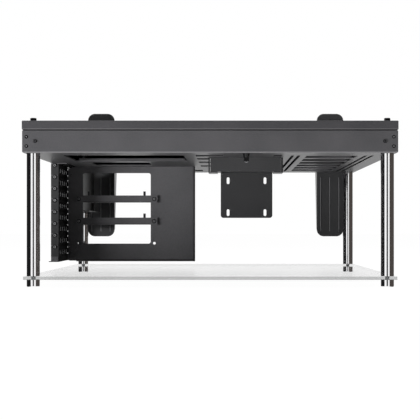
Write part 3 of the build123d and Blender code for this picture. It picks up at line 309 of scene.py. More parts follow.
# %% Shared parts of the finishes
def new_finish(name):
    """An empty material, its tree and its object coordinates."""
    finish, tree = empty_finish(name)
    return finish, tree, add(tree, "ShaderNodeTexCoord").outputs["Object"]


def per_metre(size_mm):
    """Noise scale for grains of a size in millimetres."""
    return 1 / (size_mm * MM)


print("a grain of 1 mm has the scale", per_metre(1.0))

# %% [markdown]
# Light and shade are painted into the coat where the sheet bends. On this bench the deck's lower
# bend has a painted highlight line and the riser panel's lower bend a painted shade line. The satin
# bends and the ribs of the rear brackets have a painted highlight on one side, and the lid has a
# painted highlight along its lower edge. A bend or a rib is found by its normal, which leans
# between two axes, and the lid's edge by its height, so no map is painted.

# %% Where light and shade are painted on the coat
# The product of two parts of a normal is 0 on a flat face and 0.5 in the middle of a bend.
LID_EDGE_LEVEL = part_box("deck_lid")[0].z
BEND_STARTS, BEND_FULL = 0.05, 0.2


def below(tree, place, level):
    """A socket that is 1 where a place lies under a level."""
    spot = add(tree, "ShaderNodeSeparateXYZ", {0: place})
    return add(tree, "ShaderNodeMath", {0: spot.outputs["Z"], 1: level},
               operation="LESS_THAN").outputs[0]


def bend_share(tree, place, axes):
    """A socket that is 1 below the lid where a face leans between two axes."""
    normal = add(tree, "ShaderNodeNewGeometry").outputs["True Normal"]
    parts = add(tree, "ShaderNodeSeparateXYZ", {0: normal})
    lean = add(tree, "ShaderNodeMath", {0: parts.outputs[axes[0]], 1: parts.outputs[axes[1]]},
               operation="MULTIPLY")
    share = add(tree, "ShaderNodeMapRange", {"Value": lean.outputs[0], "From Min": BEND_STARTS,
                                             "From Max": BEND_FULL})
    return add(tree, "ShaderNodeMath", {0: share.outputs[0], 1: below(tree, place, LID_EDGE_LEVEL)},
               operation="MULTIPLY").outputs[0]


def lip_share(tree, place, height):
    """A socket that is 1 along the lid's lower edge, up to a height in millimetres."""
    return below(tree, place, LID_EDGE_LEVEL + height * MM)


print("lid's lower edge at", round(LID_EDGE_LEVEL / MM, 2), "mm")

# %% [markdown]
# The coat is baked polyester powder on mild steel: near black and matt, with a sandy skin of about
# half a millimetre and slow clouds of tone over a hand's width. Brackets and trays have a thinner,
# smoother satin paint. Both are one function, which mixes two close greys by a fine and a coarse
# noise, because the two paints differ only in tone, gloss and relief.

# %% Coated steel
# The eye sees a dull, slightly broken sheen. The grains are drawn three times as coarse as they
# are, because half a millimetre is a third of a pixel in this picture. The mottle's range is where
# most of the sum of the two noises lies.
COAT_GRAIN_MM = 1.6
COAT_CLOUD_MM = 60.0
COAT_MOTTLE = (0.6, 1.4)
COAT_SHEEN_PLAY = 0.07
COAT_SKIN_MM = 0.12
POWDER = {"roughness": 0.38, "relief": 0.25}
SATIN = {"roughness": 0.32, "relief": 0.08}
LID_HIGHLIGHT_MM = 1.2


def black_coat(name, hex_dark, hex_light, hex_painted_shading, painted_shading_share, painted_shading_where, roughness, relief,
               gloss=0.15):
    """Baked black coat between two close greys, with a third grey painted on its bends or edges for
    light and shade.
    """
    finish, tree, place = new_finish(name)
    grain = add(tree, "ShaderNodeTexNoise", {"Vector": place, "Scale": per_metre(COAT_GRAIN_MM),
                                             "Detail": 2.0}).outputs["Fac"]
    cloud = add(tree, "ShaderNodeTexNoise", {"Vector": place, "Scale": per_metre(COAT_CLOUD_MM),
                                             "Detail": 3.0}).outputs["Fac"]
    mixed = add(tree, "ShaderNodeMath", {0: grain, 1: cloud}, operation="ADD")
    mottle = add(tree, "ShaderNodeMapRange", {"Value": mixed.outputs[0], "From Min": COAT_MOTTLE[0],
                                              "From Max": COAT_MOTTLE[1]})
    colour = add(tree, "ShaderNodeMix", {"Factor": mottle.outputs[0], "A": linear(hex_dark),
                                         "B": linear(hex_light)}, data_type="RGBA")
    painted_shading = add(tree, "ShaderNodeMix", {"Factor": painted_shading_share(tree, place, painted_shading_where),
                                       "A": colour.outputs["Result"], "B": linear(hex_painted_shading)},
               data_type="RGBA")
    sheen = add(tree, "ShaderNodeMapRange", {"Value": grain, "To Min": roughness - COAT_SHEEN_PLAY,
                                             "To Max": roughness + COAT_SHEEN_PLAY})
    bump = add(tree, "ShaderNodeBump", {"Height": grain, "Strength": relief,
                                        "Distance": COAT_SKIN_MM * MM})
    coat = add(tree, "ShaderNodeBsdfPrincipled", {
        "Base Color": painted_shading.outputs["Result"], "Specular IOR Level": gloss,
        "Roughness": sheen.outputs[0], "Normal": bump.outputs[0]})
    add(tree, "ShaderNodeOutputMaterial", {"Surface": coat.outputs[0]})
    return finish


# The riser panel's coat has a painted shade line on its lower bend, the deck's a painted highlight
# line, and the lid a painted highlight along its lower edge.
black_steel = black_coat("powder_coated_steel", "#4A4A4C", "#585759", "#2A2A2B",
                         bend_share, "YZ", **POWDER)
# The deck and the lid are copies of this coat in darker tones, matched to the light each gets. The
# lid's darkest tone is painted shade.
deck_steel = black_coat("powder_coated_deck_steel", "#424244", "#504F51", "#6A696B",
                        bend_share, "YZ", **POWDER)
lid_steel = black_coat("powder_coated_lid_steel", "#39393B", "#454446", "#5A595B",
                       lip_share, LID_HIGHLIGHT_MM, **POWDER)
# Each satin copy has a painted highlight on one side of its bends and ribs.
satin_steel = black_coat("satin_painted_steel", "#2E2E2F", "#343435", "#747476",
                         bend_share, "XY", **SATIN)
# The rear brackets and the drive tray are lighter copies of the satin paint, painted light, and the
# supply brackets a darker, less glossy copy, painted shade.
rear_steel = black_coat("satin_painted_rear_steel", "#383839", "#3E3E3F", "#7A7A7C",
                        bend_share, "XY", **SATIN)
tray_steel = black_coat("satin_painted_tray_steel", "#353536", "#3C3C3D", "#4A4A4B",
                        bend_share, "XY", **SATIN)
supply_steel = black_coat("satin_painted_supply_steel", "#1C1C1D", "#222223", "#3A3A3B",
                          bend_share, "XY", **SATIN, gloss=0.08)
print("seven coats on steel, grains of", COAT_GRAIN_MM, "mm")

# %% [markdown]
# The slot covers are thin pressed blanks, and they sit in a painted frame. Their tabs have the
# satin paint of the brackets. The faces towards the cards and their edges are painted dead matt
# black as painted shade, and the ends of the raised ribs are painted light as painted highlights.
# One paint
# does all of it: the normal tells inner faces and edges from the rest, and the depth tells the ribs
# from the tabs. The frame has the same paint in the powder coat's tones.

# %% Painted slot covers and frame
# The eye sees a grey tab, black depth behind it, and short light dashes where the ribs end. The
# black depth is painted shade and the dashes are painted highlights. A face looks along an axis
# when its normal has more than a half there.
TAB_REACH = 8.0
FACES_ALONG = 0.5
INSIDE_PAINTED_SHADE = "#101011"
TAB_ROUGHNESS, INSIDE_ROUGHNESS = 0.36, 0.9
COVER_GLOSS = 0.1


def cover_paint(name, hex_dark, hex_light, hex_rib_end_highlight):
    """Satin on the tabs, painted shade of dead matt black on inner faces and edges, and painted
    highlights on the ribs' ends.
    """
    finish, tree, place = new_finish(name)
    normal = add(tree, "ShaderNodeNewGeometry").outputs["True Normal"]
    across = add(tree, "ShaderNodeSeparateXYZ", {0: normal}).outputs
    level = add(tree, "ShaderNodeMath", {0: across["Z"]}, operation="ABSOLUTE")
    steep = add(tree, "ShaderNodeMath", {0: across["X"], 1: level.outputs[0]}, operation="MAXIMUM")
    inside = add(tree, "ShaderNodeMath", {0: steep.outputs[0], 1: FACES_ALONG},
                 operation="GREATER_THAN").outputs[0]
    spot = add(tree, "ShaderNodeSeparateXYZ", {0: place})
    tab_end = cover_low.y + TAB_REACH * MM
    behind_tab = add(tree, "ShaderNodeMath", {0: spot.outputs["Y"], 1: tab_end},
                     operation="GREATER_THAN")
    frontal = add(tree, "ShaderNodeMath", {0: across["Y"], 1: -FACES_ALONG}, operation="LESS_THAN")
    rib_end = add(tree, "ShaderNodeMath", {0: behind_tab.outputs[0], 1: frontal.outputs[0]},
                  operation="MULTIPLY")
    grain = add(tree, "ShaderNodeTexNoise", {"Vector": place, "Scale": per_metre(COAT_GRAIN_MM),
                                             "Detail": 2.0})
    satin = add(tree, "ShaderNodeMix", {"Factor": grain.outputs["Fac"], "A": linear(hex_dark),
                                        "B": linear(hex_light)}, data_type="RGBA")
    rib_end_highlight = add(tree, "ShaderNodeMix", {"Factor": rib_end.outputs[0], "A": satin.outputs["Result"],
                                         "B": linear(hex_rib_end_highlight)}, data_type="RGBA")
    colour = add(tree, "ShaderNodeMix", {"Factor": inside, "A": rib_end_highlight.outputs["Result"],
                                         "B": linear(INSIDE_PAINTED_SHADE)}, data_type="RGBA")
    sheen = add(tree, "ShaderNodeMapRange", {"Value": inside, "To Min": TAB_ROUGHNESS,
                                             "To Max": INSIDE_ROUGHNESS})
    paint = add(tree, "ShaderNodeBsdfPrincipled", {
        "Base Color": colour.outputs["Result"], "Specular IOR Level": COVER_GLOSS,
        "Roughness": sheen.outputs[0]})
    add(tree, "ShaderNodeOutputMaterial", {"Surface": paint.outputs[0]})
    return finish


# The black on inner faces and edges is painted shade and the grey at the ribs' ends a painted
# highlight. The frame's copy puts them on its inner faces and on its front faces behind the tabs.
cover_steel = cover_paint("painted_cover_steel", "#2E2E2F", "#363637", "#A4A4A6")
frame_steel = cover_paint("painted_frame_steel", "#4A4A4C", "#585759", "#515153")
print("made", cover_steel.name, "and", frame_steel.name)

# %% [markdown]
# The legs and feet are polished steel with bright chrome on it. A plain mirror would look drawn,
# so a noise that is stretched along the tube varies the roughness a little, as polishing marks do.

# %% Chrome plate
# The eye sees a clear, bright mirror with soft edges between its bands.
POLISH_MARK_MM = 3.0
POLISH_STRETCH = (1.0, 1.0, 0.02)
POLISH_ROUGHNESS = (0.05, 0.08)


def chrome_plate():
    """Bright chrome with faint polishing marks."""
    finish, tree, place = new_finish("bright_chrome")
    stretched = add(tree, "ShaderNodeMapping", {"Vector": place, "Scale": POLISH_STRETCH})
    marks = add(tree, "ShaderNodeTexNoise", {"Vector": stretched.outputs[0],
                                             "Scale": per_metre(POLISH_MARK_MM), "Detail": 2.0})
    polish = add(tree, "ShaderNodeMapRange", {"Value": marks.outputs["Fac"],
                                              "To Min": POLISH_ROUGHNESS[0],
                                              "To Max": POLISH_ROUGHNESS[1]})
    plate = add(tree, "ShaderNodeBsdfPrincipled", {
        "Base Color": linear("#F6F6F7"), "Metallic": 1.0, "Roughness": polish.outputs[0]})
    add(tree, "ShaderNodeOutputMaterial", {"Surface": plate.outputs[0]})
    return finish


chrome = chrome_plate()
print("made", chrome.name)

# %% [markdown]
# The base plate is cast acrylic sheet with sawn and flamed edges. Refraction in a thin sheet is
# slow and noisy and hardly shows here, so the sheet is partly see-through instead: little body on
# its faces and more on its edges, which the normal tells apart.

# %% Clear cast acrylic
# The faces take a little light and show what is behind them. The edges, where light has run
# through the sheet, look darker.
FACE_BODY, EDGE_BODY = 0.17, 0.52
HAZE_MM = 40.0
HAZE_ROUGHNESS = (0.2, 0.3)
ACRYLIC_IOR = 1.49


def cast_acrylic():
    """Clear sheet: pale faces that show through, and denser edges."""
    finish, tree, place = new_finish("cast_acrylic")
    face = add(tree, "ShaderNodeNewGeometry").outputs
    upward = add(tree, "ShaderNodeSeparateXYZ", {0: face["True Normal"]})
    level = add(tree, "ShaderNodeMath", {0: upward.outputs["Z"]}, operation="ABSOLUTE")
    outside = add(tree, "ShaderNodeMath", {0: 1.0, 1: face["Backfacing"]}, operation="SUBTRACT")
    edge = add(tree, "ShaderNodeMath", {0: outside.outputs[0], 1: level.outputs[0]},
               operation="SUBTRACT", use_clamp=True).outputs[0]
    colour = add(tree, "ShaderNodeMix", {"Factor": edge, "A": linear("#888A8A"),
                                         "B": linear("#9C9F9F")}, data_type="RGBA")
    body = add(tree, "ShaderNodeMapRange", {"Value": edge, "To Min": FACE_BODY,
                                            "To Max": EDGE_BODY})
    haze = add(tree, "ShaderNodeTexNoise", {"Vector": place, "Scale": per_metre(HAZE_MM)})
    sheen = add(tree, "ShaderNodeMapRange", {"Value": haze.outputs["Fac"],
                                             "To Min": HAZE_ROUGHNESS[0],
                                             "To Max": HAZE_ROUGHNESS[1]})
    sheet = add(tree, "ShaderNodeBsdfPrincipled", {
        "Base Color": colour.outputs["Result"], "IOR": ACRYLIC_IOR,
        "Roughness": sheen.outputs[0], "Alpha": body.outputs[0]})
    add(tree, "ShaderNodeOutputMaterial", {"Surface": sheet.outputs[0]})
    return finish


acrylic = cast_acrylic()
print("made", acrylic.name)

# %% [markdown]
# The small pieces share one function, because each of their finishes is a mottle between two
# close colours. Black oxide on screws is a thin dark skin, dark or bright zinc on plated pieces has
# a slight crystal mottle, brass posts are turned, rubber is moulded and matt, and ABS glossy.

# %% Small metal and soft finishes
# The eye sees a dull shine on oxide and zinc, a warm one on brass, and none on rubber.
SMALL_SHEEN_PLAY = 0.06
SMALL_SKIN_MM = 0.1


def small_finish(name, hex_dark, hex_light, roughness, metallic=0.0, grain_mm=1.0, relief=0.1,
                 gloss=0.5):
    """A mottled finish between two colours."""
    finish, tree, place = new_finish(name)
    grain = add(tree, "ShaderNodeTexNoise", {"Vector": place, "Scale": per_metre(grain_mm),
                                             "Detail": 2.0}).outputs["Fac"]
    colour = add(tree, "ShaderNodeMix", {"Factor": grain, "A": linear(hex_dark),
                                         "B": linear(hex_light)}, data_type="RGBA")
    sheen = add(tree, "ShaderNodeMapRange", {"Value": grain, "To Min": roughness - SMALL_SHEEN_PLAY,
                                             "To Max": roughness + SMALL_SHEEN_PLAY})
    bump = add(tree, "ShaderNodeBump", {"Height": grain, "Strength": relief,
                                        "Distance": SMALL_SKIN_MM * MM})
    skin = add(tree, "ShaderNodeBsdfPrincipled", {
        "Base Color": colour.outputs["Result"], "Metallic": metallic, "Specular IOR Level": gloss,
        "Roughness": sheen.outputs[0], "Normal": bump.outputs[0]})
    add(tree, "ShaderNodeOutputMaterial", {"Surface": skin.outputs[0]})
    return finish


black_oxide = small_finish("black_oxide_steel", "#161617", "#202021", 0.4)
# The next finish is the screws' own near black made deeper as painted shade, for the sides,
# recesses and flanges of heads. The one after is a light grey that paints a highlight on the flat
# tops of heads.
oxide_and_painted_shade = small_finish("black_oxide_and_painted_shade", "#060607", "#0C0C0D", 0.6, gloss=0.1)
highlight_zinc = small_finish("zinc_plate_painted_highlight", "#6A6A6C", "#7C7C7E", 0.34)
dark_zinc = small_finish("dark_zinc_plate", "#2C2C2E", "#363638", 0.36)
bright_zinc = small_finish("bright_zinc_plate", "#B4B6B9", "#CFD0D2", 0.28, metallic=1.0,
                           grain_mm=1.5)
turned_brass = small_finish("turned_brass", "#B8923F", "#CDA656", 0.25, metallic=1.0, grain_mm=0.8)
rubber = small_finish("moulded_rubber", "#171717", "#1D1D1D", 0.7, grain_mm=0.8, relief=0.3)
plastic = small_finish("gloss_abs", "#101011", "#151516", 0.15, grain_mm=0.8, relief=0.03)
print("eight small finishes")

# %% [markdown]
# The record says which material each piece is made of, so the finishes are handed out by it. A few
# pieces get copies of their paint whose tones and marks paint in light and shade.

# %% Hand out the finishes
FINISH_OF = {"black_steel": black_steel, "satin_black_steel": satin_steel, "chrome": chrome,
             "clear_acrylic": acrylic, "black_screws": black_oxide, "plated_steel": bright_zinc,
             "brass": turned_brass, "black_rubber": rubber, "black_plastic": plastic}
# Copies of a paint whose tones and marks are painted light and shade.
PAINTED_LIGHT_TONES = {"deck_tray": deck_steel, "deck_lid": lid_steel, "drive_tray": tray_steel,
            "slot_frame": frame_steel, "supply_bracket": supply_steel,
            "radiator_bracket": rear_steel, "slot_cover": cover_steel}
slot_of = {part["node"]: part["material_slot"] for part in frame["record"]["subparts"]}
for name, piece in frame["nodes"].items():
    finish = FINISH_OF[slot_of[name]]
    for stem, painted_tone in PAINTED_LIGHT_TONES.items():
        if name.startswith(stem):
            finish = painted_tone
    piece.data.materials.clear()
    piece.data.materials.append(finish)
print("finished nodes:", len(slot_of))

# %% [markdown]
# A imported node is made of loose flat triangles, which is right for folded sheet but shows as flat
# strips on a mirror. The chromed legs and feet are therefore turned anew: a profile of radii and
# levels, measured from the node, is spun in many fine steps, with broken edges that catch light.

# %% Helpers for pieces
SHARP_ABOVE = math.radians(30)


def ride_as(name, mesh):
    """Puts a mesh in the scene as a piece of the bench."""
    piece = bpy.data.objects.new(name, mesh)
    bpy.context.scene.collection.objects.link(piece)
    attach(piece, "root")
    return piece


def stand_for(name, mesh):
    """Puts a mesh in the scene as the piece that stands for a node."""
    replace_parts(ride_as(name + "_detailed", mesh), name)


def smooth_mesh(shape, name, finish):
    """A mesh from a worked shape, shaded smooth with its sharp edges kept."""
    for face in shape.faces:
        face.smooth = True
    for edge in shape.edges:
        edge.smooth = edge.calc_face_angle(math.pi) < SHARP_ABOVE
    mesh = bpy.data.meshes.new(name)
    shape.to_mesh(mesh)
    shape.free()
    mesh.materials.append(finish)
    return mesh


print("edges over", round(math.degrees(SHARP_ABOVE)), "degrees stay sharp")

# %% Turned legs and feet
TURNING_STEPS = 128
TURNED_JOIN = 0.0001
CORNERS = ("front_left", "front_right", "rear_left", "rear_right")
LEG_WALL = 2.0
BROKEN_EDGE = 0.3
FOOT_ROUNDING = 1.6
FOOT_ARC_STEPS = 6


def spun(profile, centre):
    """A closed profile of radii and levels in millimetres, spun about the upright axis."""
    shape = bmesh.new()
    rings = []
    for step in range(TURNING_STEPS):
        turn = step * math.tau / TURNING_STEPS
        outward = Vector((math.cos(turn), math.sin(turn), 0))
        rings.append([shape.verts.new(centre + outward * radius * MM + Vector((0, 0, level * MM)))
                      for radius, level in profile])
    count = len(profile)
    for step in range(TURNING_STEPS):
        here, after = rings[step], rings[(step + 1) % TURNING_STEPS]
        for i in range(count):
            j = (i + 1) % count
            shape.faces.new((here[i], after[i], after[j], here[j]))
    bmesh.ops.remove_doubles(shape, verts=shape.verts, dist=TURNED_JOIN * MM)
    bmesh.ops.recalc_face_normals(shape, faces=shape.faces)
    return shape


def axis_of(name):
    """Foot of a turned node's axis, its radius and its height in millimetres."""
    low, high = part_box(name)
    centre = (low + high) / 2
    return Vector((centre.x, centre.y, low.z)), (high.x - low.x) / 2 / MM, (high.z - low.z) / MM


def leg_profile(radius, height):
    """Tube with broken edges."""
    bore = radius - LEG_WALL
    return [(bore, 0), (radius - BROKEN_EDGE, 0), (radius, BROKEN_EDGE),
            (radius, height - BROKEN_EDGE), (radius - BROKEN_EDGE, height), (bore, height)]


def foot_profile(radius, height):
    """Solid foot with a rounded lower edge."""
    arc = [math.radians(90 / FOOT_ARC_STEPS * i) for i in range(FOOT_ARC_STEPS + 1)]
    rounded = [(radius - FOOT_ROUNDING * (1 - math.sin(a)), FOOT_ROUNDING * (1 - math.cos(a)))
               for a in arc]
    return [(0, 0)] + rounded + [(radius, height), (0, height)]


for kind, profile_of in (("leg_", leg_profile), ("foot_", foot_profile)):
    for corner in CORNERS:
        centre, radius, height = axis_of(kind + corner)
        shape = spun(profile_of(radius, height), centre)
        stand_for(kind + corner, smooth_mesh(shape, kind + corner, chrome))
    print(kind + "pieces of", round(height, 1), "mm")

# %% [markdown]
# The smaller turned pieces keep the shape of their nodes. They get a copy whose points are merged
# and whose faces are shaded smooth, with every edge over thirty degrees kept sharp.

# %% Smooth copies of the small turned pieces
TURNED = ("front_knob", "knob_dome", "riser_posts", "board_standoffs", "lid_grommets")
NODE_JOIN = 0.001


def merged(name):
    """A copy of a node's mesh with its triangles joined."""
    copy = bmesh.new()
    copy.from_mesh(frame["nodes"][name].data)
    bmesh.ops.remove_doubles(copy, verts=copy.verts, dist=NODE_JOIN * MM)
    return copy


for name in TURNED:
    stand_for(name, smooth_mesh(merged(name), name + "_detailed", FINISH_OF[slot_of[name]]))
print("smooth copies:", len(TURNED))

# %% [markdown]
# Under the front edge hangs a small knob with a ball end. A bright crescent on the ball is a
# painted highlight, made as an upright ring of plated wire that is set into the ball, so that only
# its lower part stands out. The ring is spun lying down, then turned up.

# %% Wire ring on the knob, a painted highlight
RING_WIRE = 0.55
RING_FORWARD = 2.0
WIRE_SIDES = 12
dome_low, dome_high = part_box("knob_dome")
dome_half = (dome_high.x - dome_low.x) / 2 / MM
ring_radius = math.sqrt(dome_half ** 2 - RING_FORWARD ** 2)
wire = [math.radians(360 / WIRE_SIDES * i) for i in range(WIRE_SIDES)]
highlight_ring = spun([(ring_radius + RING_WIRE * math.cos(a), RING_WIRE * math.sin(a)) for a in wire],
            Vector((0, 0, 0)))
bmesh.ops.rotate(highlight_ring, verts=highlight_ring.verts, cent=(0, 0, 0),
                 matrix=Matrix.Rotation(math.radians(90), 3, "X"))
ring_centre = Vector(((dome_low.x + dome_high.x) / 2,
                      (dome_low.y + dome_high.y) / 2 - RING_FORWARD * MM,
                      dome_low.z + dome_half * MM))
bmesh.ops.translate(highlight_ring, verts=highlight_ring.verts, vec=ring_centre)
ride_as("knob_highlight_ring", smooth_mesh(highlight_ring, "knob_highlight_ring", bright_zinc))
print("ring of radius", round(ring_radius, 2), "mm")

# %% [markdown]
# Between the lid's lip and the tray's shoulder runs a narrow groove, whose shade is a dark line. A
# black rubber strip lies in it all the way round as painted shade, so that the line stays dark and
# no light shines through at the corners. It is one rounded profile taken round the four corners.

# %% Black strip under the lid, painted shade
STRIP_BACK = 0.7
STRIP_DEPTH = 3.6
STRIP_HEIGHT = 1.76
STRIP_ROUNDING = 0.5
STRIP_PLAY = 0.02
tray_low, tray_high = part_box("deck_tray")
strip_top = LID_EDGE_LEVEL / MM - STRIP_PLAY
strip_bottom = strip_top - STRIP_HEIGHT
strip_profile = [(STRIP_BACK + STRIP_ROUNDING, strip_bottom), (STRIP_BACK, strip_bottom + STRIP_ROUNDING),
                (STRIP_BACK, strip_top - STRIP_ROUNDING), (STRIP_BACK + STRIP_ROUNDING, strip_top),
                (STRIP_BACK + STRIP_DEPTH, strip_top), (STRIP_BACK + STRIP_DEPTH, strip_bottom)]
shade_strip = bmesh.new()
corners = []
for side_x, side_y in ((-1, -1), (1, -1), (1, 1), (-1, 1)):
    edge_x = tray_high.x if side_x > 0 else tray_low.x
    edge_y = tray_high.y if side_y > 0 else tray_low.y
    corners.append([shade_strip.verts.new((edge_x - side_x * inset * MM, edge_y - side_y * inset * MM,
                                    level * MM)) for inset, level in strip_profile])
for here, after in zip(corners, corners[1:] + corners[:1]):
    for i in range(len(strip_profile)):
        j = (i + 1) % len(strip_profile)
        shade_strip.faces.new((here[i], after[i], after[j], here[j]))
bmesh.ops.recalc_face_normals(shade_strip, faces=shade_strip.faces)
ride_as("lid_shade_strip", smooth_mesh(shade_strip, "lid_shade_strip", rubber))
print("seal from", round(strip_bottom, 2), "to", round(strip_top, 2), "mm")

# %% [markdown]
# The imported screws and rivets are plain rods. On the real bench they have turned heads with a
# cross or a hexagon socket, so a Geometry Nodes tree makes them: one head is modelled once, in
# millimetres, and set on every place, turned to face outwards. The places and the lengths are
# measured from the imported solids, so each screw stays exactly where its solid is.

# %% Where the fasteners are
def solids_of(name):
    """Lowest and highest corner of each separate solid in a node, in a fixed order."""
    copy = merged(name)
    waiting = set(copy.verts)
    boxes = []
    while waiting:
        edge_of_search = [waiting.pop()]
        found = []
        while edge_of_search:
            vertex = edge_of_search.pop()
            found.append(vertex.co.copy())
            near = {edge.other_vert(vertex) for edge in vertex.link_edges} & waiting
            waiting -= near
            edge_of_search += near
        boxes.append([Vector(pick(p[i] for p in found) for i in range(3)) for pick in (min, max)])
    copy.free()
    return sorted(boxes, key=lambda box: tuple(box[0]))


def seats_of(name, facing, head_height):
    """Seat under each head, the way the head faces, and the shank's reach in millimetres."""
    axis = max(range(3), key=lambda i: abs(facing[i]))
    seats = []
    for low, high in solids_of(name):
        seat = (low + high) / 2
        seat[axis] = (high if facing[axis] > 0 else low)[axis] - facing[axis] * head_height * MM
        seats.append((seat, Vector(facing), (high - low)[axis] / MM - head_height))
    return seats


for name in ("leg_screws", "slot_screws"):
    print("solids in", name, len(solids_of(name)))

# %% [markdown]
# A head is a low cone for its rim and a second one for its crown, joined, less a recess, and it
# sits on a thin flange. A shank is a rod one millimetre long, which each place stretches to its own
# reach. All sizes are named inputs of the tree, so one tree serves small cross screws as well as
# large socket screws.

# %% Heads and recesses
SIZES = ("Head Radius", "Shoulder Radius", "Rim Height", "Crown Radius", "Crown Height",
         "Recess Width", "Recess Depth", "Shank Radius", "Flange Radius", "Flange Height")
HEAD_SIDES = 32
CROSS_ARM_SHARE = 0.3


def head_nodes(tree, given):
    """A turned head that stands on the level zero, and the level of its top."""
    rim = add(tree, "GeometryNodeMeshCone", {
        "Vertices": HEAD_SIDES, "Radius Bottom": given["Head Radius"],
        "Radius Top": given["Shoulder Radius"], "Depth": given["Rim Height"]})
    crown = add(tree, "GeometryNodeMeshCone", {
        "Vertices": HEAD_SIDES, "Radius Bottom": given["Shoulder Radius"],
        "Radius Top": given["Crown Radius"], "Depth": given["Crown Height"]})
    lift = add(tree, "ShaderNodeCombineXYZ", {"Z": given["Rim Height"]})
    raised = add(tree, "GeometryNodeTransform", {"Geometry": crown.outputs["Mesh"],
                                                 "Translation": lift.outputs[0]})
    head = add(tree, "GeometryNodeMeshBoolean", operation="UNION")
    for part in (rim.outputs["Mesh"], raised.outputs[0]):
        tree.links.new(part, head.inputs["Mesh 2"])
    top = add(tree, "ShaderNodeMath", {0: given["Rim Height"], 1: given["Crown Height"]},
              operation="ADD")
    return head.outputs["Mesh"], top.outputs[0]


def recess_nodes(tree, given, kind):
    """The tools for a recess about the level zero: two crossed bars, or a hexagon."""
    width = given["Recess Width"]
    deep = add(tree, "ShaderNodeMath", {0: given["Recess Depth"], 1: 2.0},
               operation="MULTIPLY").outputs[0]
    if kind == "hexagon":
        radius = add(tree, "ShaderNodeMath", {0: width, 1: 2.0}, operation="DIVIDE").outputs[0]
        return [add(tree, "GeometryNodeMeshCylinder", {"Vertices": 6, "Radius": radius,
                                                       "Depth": deep}).outputs["Mesh"]]
    arm = add(tree, "ShaderNodeMath", {0: width, 1: CROSS_ARM_SHARE},
              operation="MULTIPLY").outputs[0]
    bars = []
    for x, y in ((width, arm), (arm, width)):
        size = add(tree, "ShaderNodeCombineXYZ", {"X": x, "Y": y, "Z": deep})
        bars.append(add(tree, "GeometryNodeMeshCube", {"Size": size.outputs[0]}).outputs["Mesh"])
    return bars


print("sizes of a fastener:", len(SIZES))

# %% [markdown]
# The flat top of a head gets a lighter finish, a painted highlight. The sides of a head, its recess
# and the flange get a near black finish, partly their own colour and partly painted shade. They
# carry a mark, by which the tree's last node gives them the dark finish. A thin plug lies on the
# floor of each recess, so that the floor can carry the painted shade too.

# %% Recess cut and marks for the painted shade
FLOOR_SHARE = 0.12
FLOOR_PLAY = 0.98
TOP_FACE = 0.95


def marked_painted_shade(tree, pieces, where=True):
    """The same pieces, with the mark on the faces that get the dark finish of painted shade."""
    return add(tree, "GeometryNodeStoreNamedAttribute",
               {"Geometry": pieces, "Selection": where, "Name": "dark", "Value": True},
               data_type="BOOLEAN", domain="FACE").outputs[0]


def recessed_nodes(tree, given, kind, head, top, dark):
    """A head less its recess, whose floor joins the dark pieces of painted shade."""
    lift = add(tree, "ShaderNodeCombineXYZ", {"Z": top})
    floor_level = add(tree, "ShaderNodeMath", {0: given["Recess Depth"], 1: FLOOR_SHARE - 1,
                                               2: top}, operation="MULTIPLY_ADD")
    floor_lift = add(tree, "ShaderNodeCombineXYZ", {"Z": floor_level.outputs[0]})
    cut = add(tree, "GeometryNodeMeshBoolean", {"Mesh 1": head}, operation="DIFFERENCE")
    for tool in recess_nodes(tree, given, kind):
        raised = add(tree, "GeometryNodeTransform", {"Geometry": tool,
                                                     "Translation": lift.outputs[0]})
        tree.links.new(raised.outputs[0], cut.inputs["Mesh 2"])
        plug = add(tree, "GeometryNodeTransform", {
            "Geometry": tool, "Translation": floor_lift.outputs[0],
            "Scale": (FLOOR_PLAY, FLOOR_PLAY, FLOOR_SHARE)})
        tree.links.new(plug.outputs[0], dark.inputs[0])
    return cut.outputs["Mesh"]


def whole_head(tree, given, kind):
    """A head on its flange, with its recess and its marks for painted shade."""
    head, top = head_nodes(tree, given)
    flange = add(tree, "GeometryNodeMeshCone", {
        "Vertices": HEAD_SIDES, "Radius Bottom": given["Flange Radius"],
        "Radius Top": given["Flange Radius"], "Depth": given["Flange Height"]})
    dark = add(tree, "GeometryNodeJoinGeometry", {0: flange.outputs["Mesh"]})
    if kind != "plain":
        head = recessed_nodes(tree, given, kind, head, top, dark)
    normal = add(tree, "GeometryNodeInputNormal").outputs[0]
    upward = add(tree, "ShaderNodeSeparateXYZ", {0: normal})
    side = add(tree, "FunctionNodeCompare", {"A": upward.outputs["Z"], "B": TOP_FACE},
               operation="LESS_THAN")
    whole = add(tree, "GeometryNodeJoinGeometry", {0: marked_painted_shade(tree, head, side.outputs[0])})
    tree.links.new(marked_painted_shade(tree, dark.outputs[0]), whole.inputs[0])
    return whole.outputs[0]


print("faces under a lean of", TOP_FACE, "are dark")

# %% [markdown]
# The places are bare points that carry two values: the way a head faces and how far its shank
# reaches. The tree sets a head and a shank on each point, makes them real, shades round sides
# smooth and flat ones sharp, and hands out the two finishes.

# %% Tree for a fastener
FINISHES = ("Finish", "Dark Finish")
SHANK_SIDES = 20
SMOOTH_BELOW = math.radians(32)


